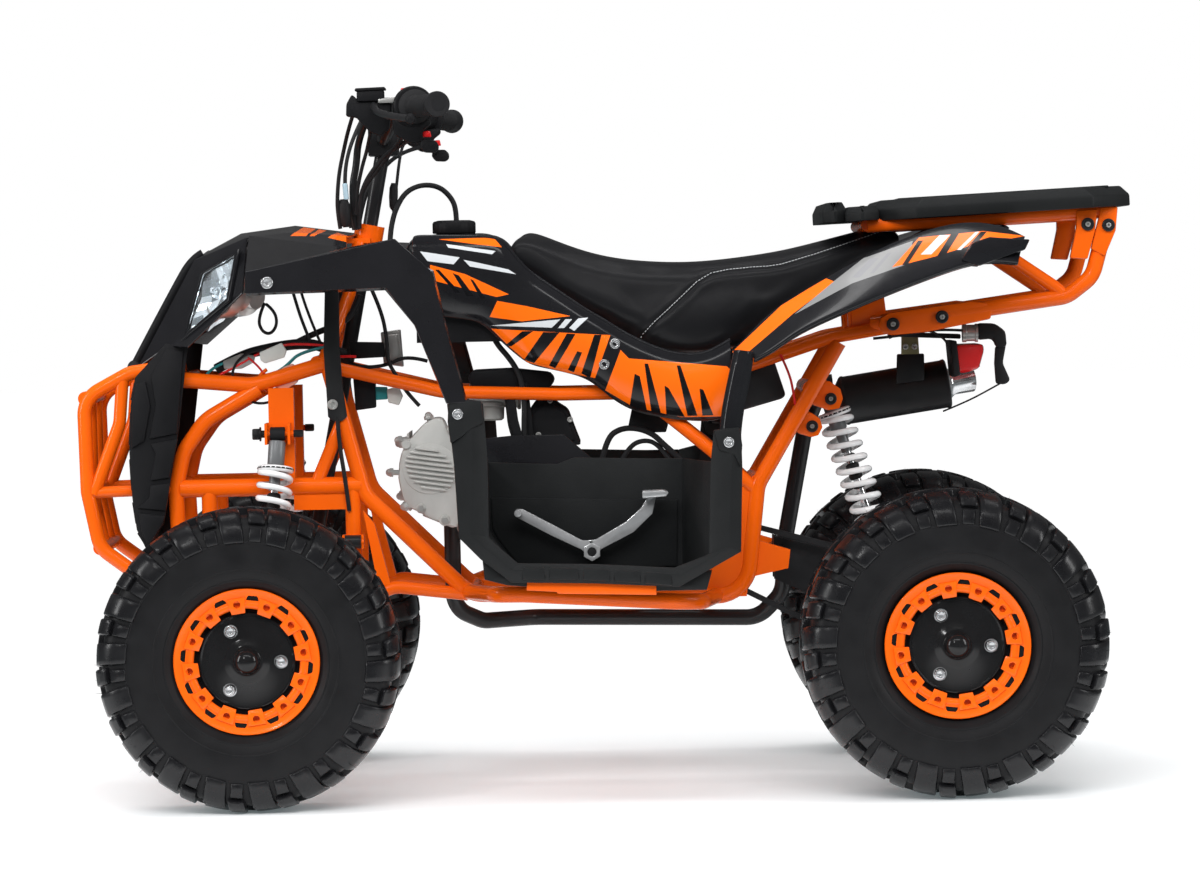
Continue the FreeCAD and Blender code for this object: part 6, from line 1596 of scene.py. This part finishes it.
# Front trim and wiring: a rubber-tipped shield rib down each side of the nose, the hanging strap and its
# rod, and the loom of plugs and coloured leads behind the headlights. Hoses, clips and covers by the engine
# and the rear lugs for shock and stay follow.
def knob(name, radius, at, paint):
    ball = turned_bar(name, [(radius * math.sin(k * math.pi / 10), -radius * math.cos(k * math.pi / 10))
            for k in range(11)], 24, closed=False)
    return finished(aimed(ball, at, (0, 1, 0)), paint, angle=60)


for side_name, side in SIDES:
    pipe("nose_rib_" + side_name,
        [(x, 84 * side, z) for x, z in ((646, 872), (664, 862), (690, 818), (740, 729), (758, 696))],
        7.5, matt_black, sides=16)
    knob("nose_rib_tip_" + side_name, 12.5, (760, 84 * side, 689), rubber)
    strap = [block_of("hang_strap", [(447, 806), (424, 806), (425, 719), (421, 650), (415, 604),
                (423, 597), (437, 597), (446, 604), (448, 650), (451, 711)], 128 * side, 133 * side,
            0.0015, 15)]
    finished(joined(strap, "hang_strap_" + side_name), satin)
    screw("hang_bolt_" + side_name, (438, 133 * side, 624), (0, side, 0), 8.5, 5, zinc)
    pipe("hang_rod_" + side_name,
        [(x, 130 * side, z) for x, z in ((431, 604), (429, 560), (420, 500), (415, 452))], 3.8, rubber,
        sides=10)
teal = Paint("teal_lead", rough=0.4)
teal.worn((60, 2), (0.01, 0.16, 0.17), (0.02, 0.24, 0.25))
nylon = Paint("natural_nylon", rough=0.4)
nylon.worn((60, 3), (0.5, 0.5, 0.47), (0.68, 0.68, 0.65))
flesh = Paint("pink_insulation", rough=0.45)
flesh.worn((60, 3), (0.55, 0.22, 0.16), (0.68, 0.32, 0.24))
leads = (
    ("loom", 8.5, rubber, 90, [(628, 684), (586, 706), (542, 716), (503, 722), (470, 722), (447, 713),
            (418, 704)]),
    ("loom_branch", 5.0, rubber, 80, [(503, 722), (470, 738), (430, 752), (404, 768), (392, 800)]),
    ("loop_ring", 2.2, rubber, 106, [(529, 712), (563, 716), (594, 698), (604, 668), (582, 634),
            (552, 625), (520, 638), (499, 668)]),
    ("loop_small", 2.6, rubber, 118, [(545, 790), (557, 764), (550, 743), (536, 739), (525, 755),
            (529, 777), (543, 788)]),
    ("loop_orange", 3.0, orange, 101, [(545, 682), (560, 673), (556, 652), (534, 645), (512, 660)]),
    ("drop_lead_a", 2.8, rubber, 100, [(501, 810), (493, 781), (485, 755), (474, 726)]),
    ("drop_lead_b", 2.4, rubber, 96, [(487, 806), (476, 767), (456, 720)]),
    ("drop_lead_c", 3.2, rubber, 88, [(375, 812), (358, 774), (350, 726), (350, 691), (337, 669),
            (320, 640), (300, 618)]),
    ("lead_teal_a", 2.4, teal, 99, [(646, 672), (636, 686), (614, 694)]),
    ("lead_teal_b", 2.6, teal, 105, [(543, 669), (527, 678), (512, 688), (490, 710), (446, 717)]),
    ("lead_red_a", 2.2, button_red, 101, [(621, 675), (586, 692), (559, 708), (533, 718), (494, 724),
            (446, 718)]),
    ("lead_red_b", 2.2, button_red, 98, [(517, 656), (486, 674), (464, 691), (440, 702), (400, 700)]),
    ("lead_red_c", 1.8, button_red, 103, [(575, 702), (560, 690), (548, 672), (532, 664)]),
    ("rear_arch", 5.0, rubber, 62, [(6, 520), (-3, 559), (-26, 574), (-53, 574), (-79, 564), (-97, 545),
            (-123, 522)]),
    ("rear_arch_inner", 4.0, rubber, 58, [(-26, 520), (-40, 546), (-66, 555), (-88, 546), (-106, 520)]),
    ("carb_hose", 4.6, rubber, 84, [(198, 772), (178, 722), (150, 690), (134, 660), (129, 617),
            (131, 582), (131, 540)]),
    ("sump_hose", 4.0, rubber, 72, [(160, 640), (156, 613), (153, 573), (138, 538)]),
    ("coil_lead", 3.0, rubber, 70, [(414, 690), (393, 681), (352, 684), (320, 700), (286, 690)]))
for name, radius, paint, y, line in leads:
    pipe(name, [(x, y + 3 * math.sin(i * 1.7), z) for i, (x, z) in enumerate(line)], radius, paint)
for name, paint, y0, y1, corners in (
        ("plug_white", nylon, 98, 112, [(556, 710), (520, 725), (512, 712), (516, 701), (547, 692),
                (554, 697)]),
        ("plug_pink", flesh, 94, 116, [(534, 674), (516, 686), (503, 691), (490, 677), (496, 660),
                (516, 647), (531, 654)]),
        ("plug_grey", lamp_silver, 88, 104, [(616, 697), (586, 709), (564, 705), (566, 694), (586, 684),
                (614, 684)]),
        ("relay_box", matt_black, 52, 78, [(407, 666), (371, 666), (371, 616), (404, 612)]),
        ("plug_teal", teal, 58, 72, [(376, 650), (352, 649), (352, 629), (376, 628)]),
        ("plug_clear", nylon, 56, 74, [(353, 645), (334, 650), (327, 634), (334, 619), (351, 624)]),
        ("loom_block", matt_black, 60, 84, [(413, 724), (356, 722), (353, 698), (409, 696)]),
        ("regulator", lamp_silver, 24, 52, [(362, 738), (330, 742), (326, 681), (358, 686)]),
        ("regulator_fins", lamp_silver, 52, 58, [(358, 732), (334, 735), (330, 690), (354, 693)]),
        ("case_cover", gloss_black, 92.5, 98, [(222, 552), (198, 563), (150, 567), (66, 567), (22, 528),
                (-24, 512), (214, 506)]),
        ("rear_inner_guard", matt_black, 20, 56, [(-38, 573), (-45, 604), (-69, 606), (-104, 580),
                (-100, 566), (-71, 566)]),
        ("hose_clip_a", zinc, 78, 92, [(124, 550), (138, 550), (138, 541), (124, 541)]),
        ("hose_clip_b", zinc, 66, 78, [(146, 562), (160, 564), (160, 556), (146, 554)])):
    finished(block_of(name, corners, y0, y1, 0.0018), paint)
for side_name, side in SIDES:
    lugs = [block_of("shock_lug", [(-336, 640), (-366, 645), (-384, 632), (-388, 616), (-382, 600),
                (-364, 597), (-340, 606), (-326, 618)], 76 * side, 81 * side, 0.0015, 15),
        block_of("stay_lug", [(-306, 592), (-336, 594), (-350, 584), (-354, 570), (-347, 557),
                (-335, 554), (-316, 560), (-300, 574)], 76 * side, 81 * side, 0.0015, 15)]
    finished(joined(lugs, "rear_lugs_" + side_name), orange)
    for name, x, z in (("shock", -368, 616), ("stay", -337, 572)):
        bolt_and_stud("rear_{}_%s_{}".format(name, side_name), (x, 81 * side, z), side, 9.8, 3.6)


# Rear drive: a toothed steel sprocket on the left of the live axle and a drilled brake disc on the right,
# each with lightening windows and four bolts through its carrier.
def axle_plate(name, node, teeth, radius, root, holes, side):
    """A thin plate about the rear axle with windows, drilled holes and its carrier."""
    rim_line = []
    for k in range(teeth):
        for share, reach in ((0.10, root), (0.34, radius), (0.56, radius), (0.80, root)):
            angle = math.tau * (k + share) / teeth
            rim_line.append((reach * math.cos(angle), reach * math.sin(angle)))
    plate = prism(name, rim_line, 0.060, 0.064)
    opening = prism(name + "_window", [(0.036, -0.006), (0.060, -0.015), (0.063, 0.0), (0.060, 0.015),
            (0.036, 0.006)], 0.05, 0.07)
    cut_by(plate, around(bevelled(opening, 0.003, 2, 20), name + "_windows", 6))
    if holes:
        bore = drum(name + "_bore", 0.0036, 0.05, 0.07, 12, (root - 0.010, 0))
        cut_by(plate, around(bore, name + "_bores", holes))
    carrier = spun(name + "_carrier", [(0.0153, 0.050), (0.0153, 0.074), (0.019, 0.074), (0.021, 0.066),
            (0.030, 0.0655), (0.030, 0.0585), (0.021, 0.058), (0.019, 0.050)], 48)
    heads = around(drum(name + "_head", 0.004, 0.064, 0.0685, 6, (0.0255, 0)), name + "_heads", 4)
    whole = joined([bevelled(plate, 0.0005, 1, 40), carrier, heads], name)
    whole.data.transform(Matrix.Translation(on_side(REAR_HUB, 0)) @ Matrix.Diagonal((1, side, 1, 1)))
    if side < 0:
        whole.data.flip_normals()
    finished(whole, zinc, node, body="rear_axle")


axle_plate("axle_sprocket", "sprocket", 41, 0.078, 0.0735, 0, 1)
axle_plate("axle_brake_disc", "brake_disc", 12, 0.085, 0.0835, 24, -1)
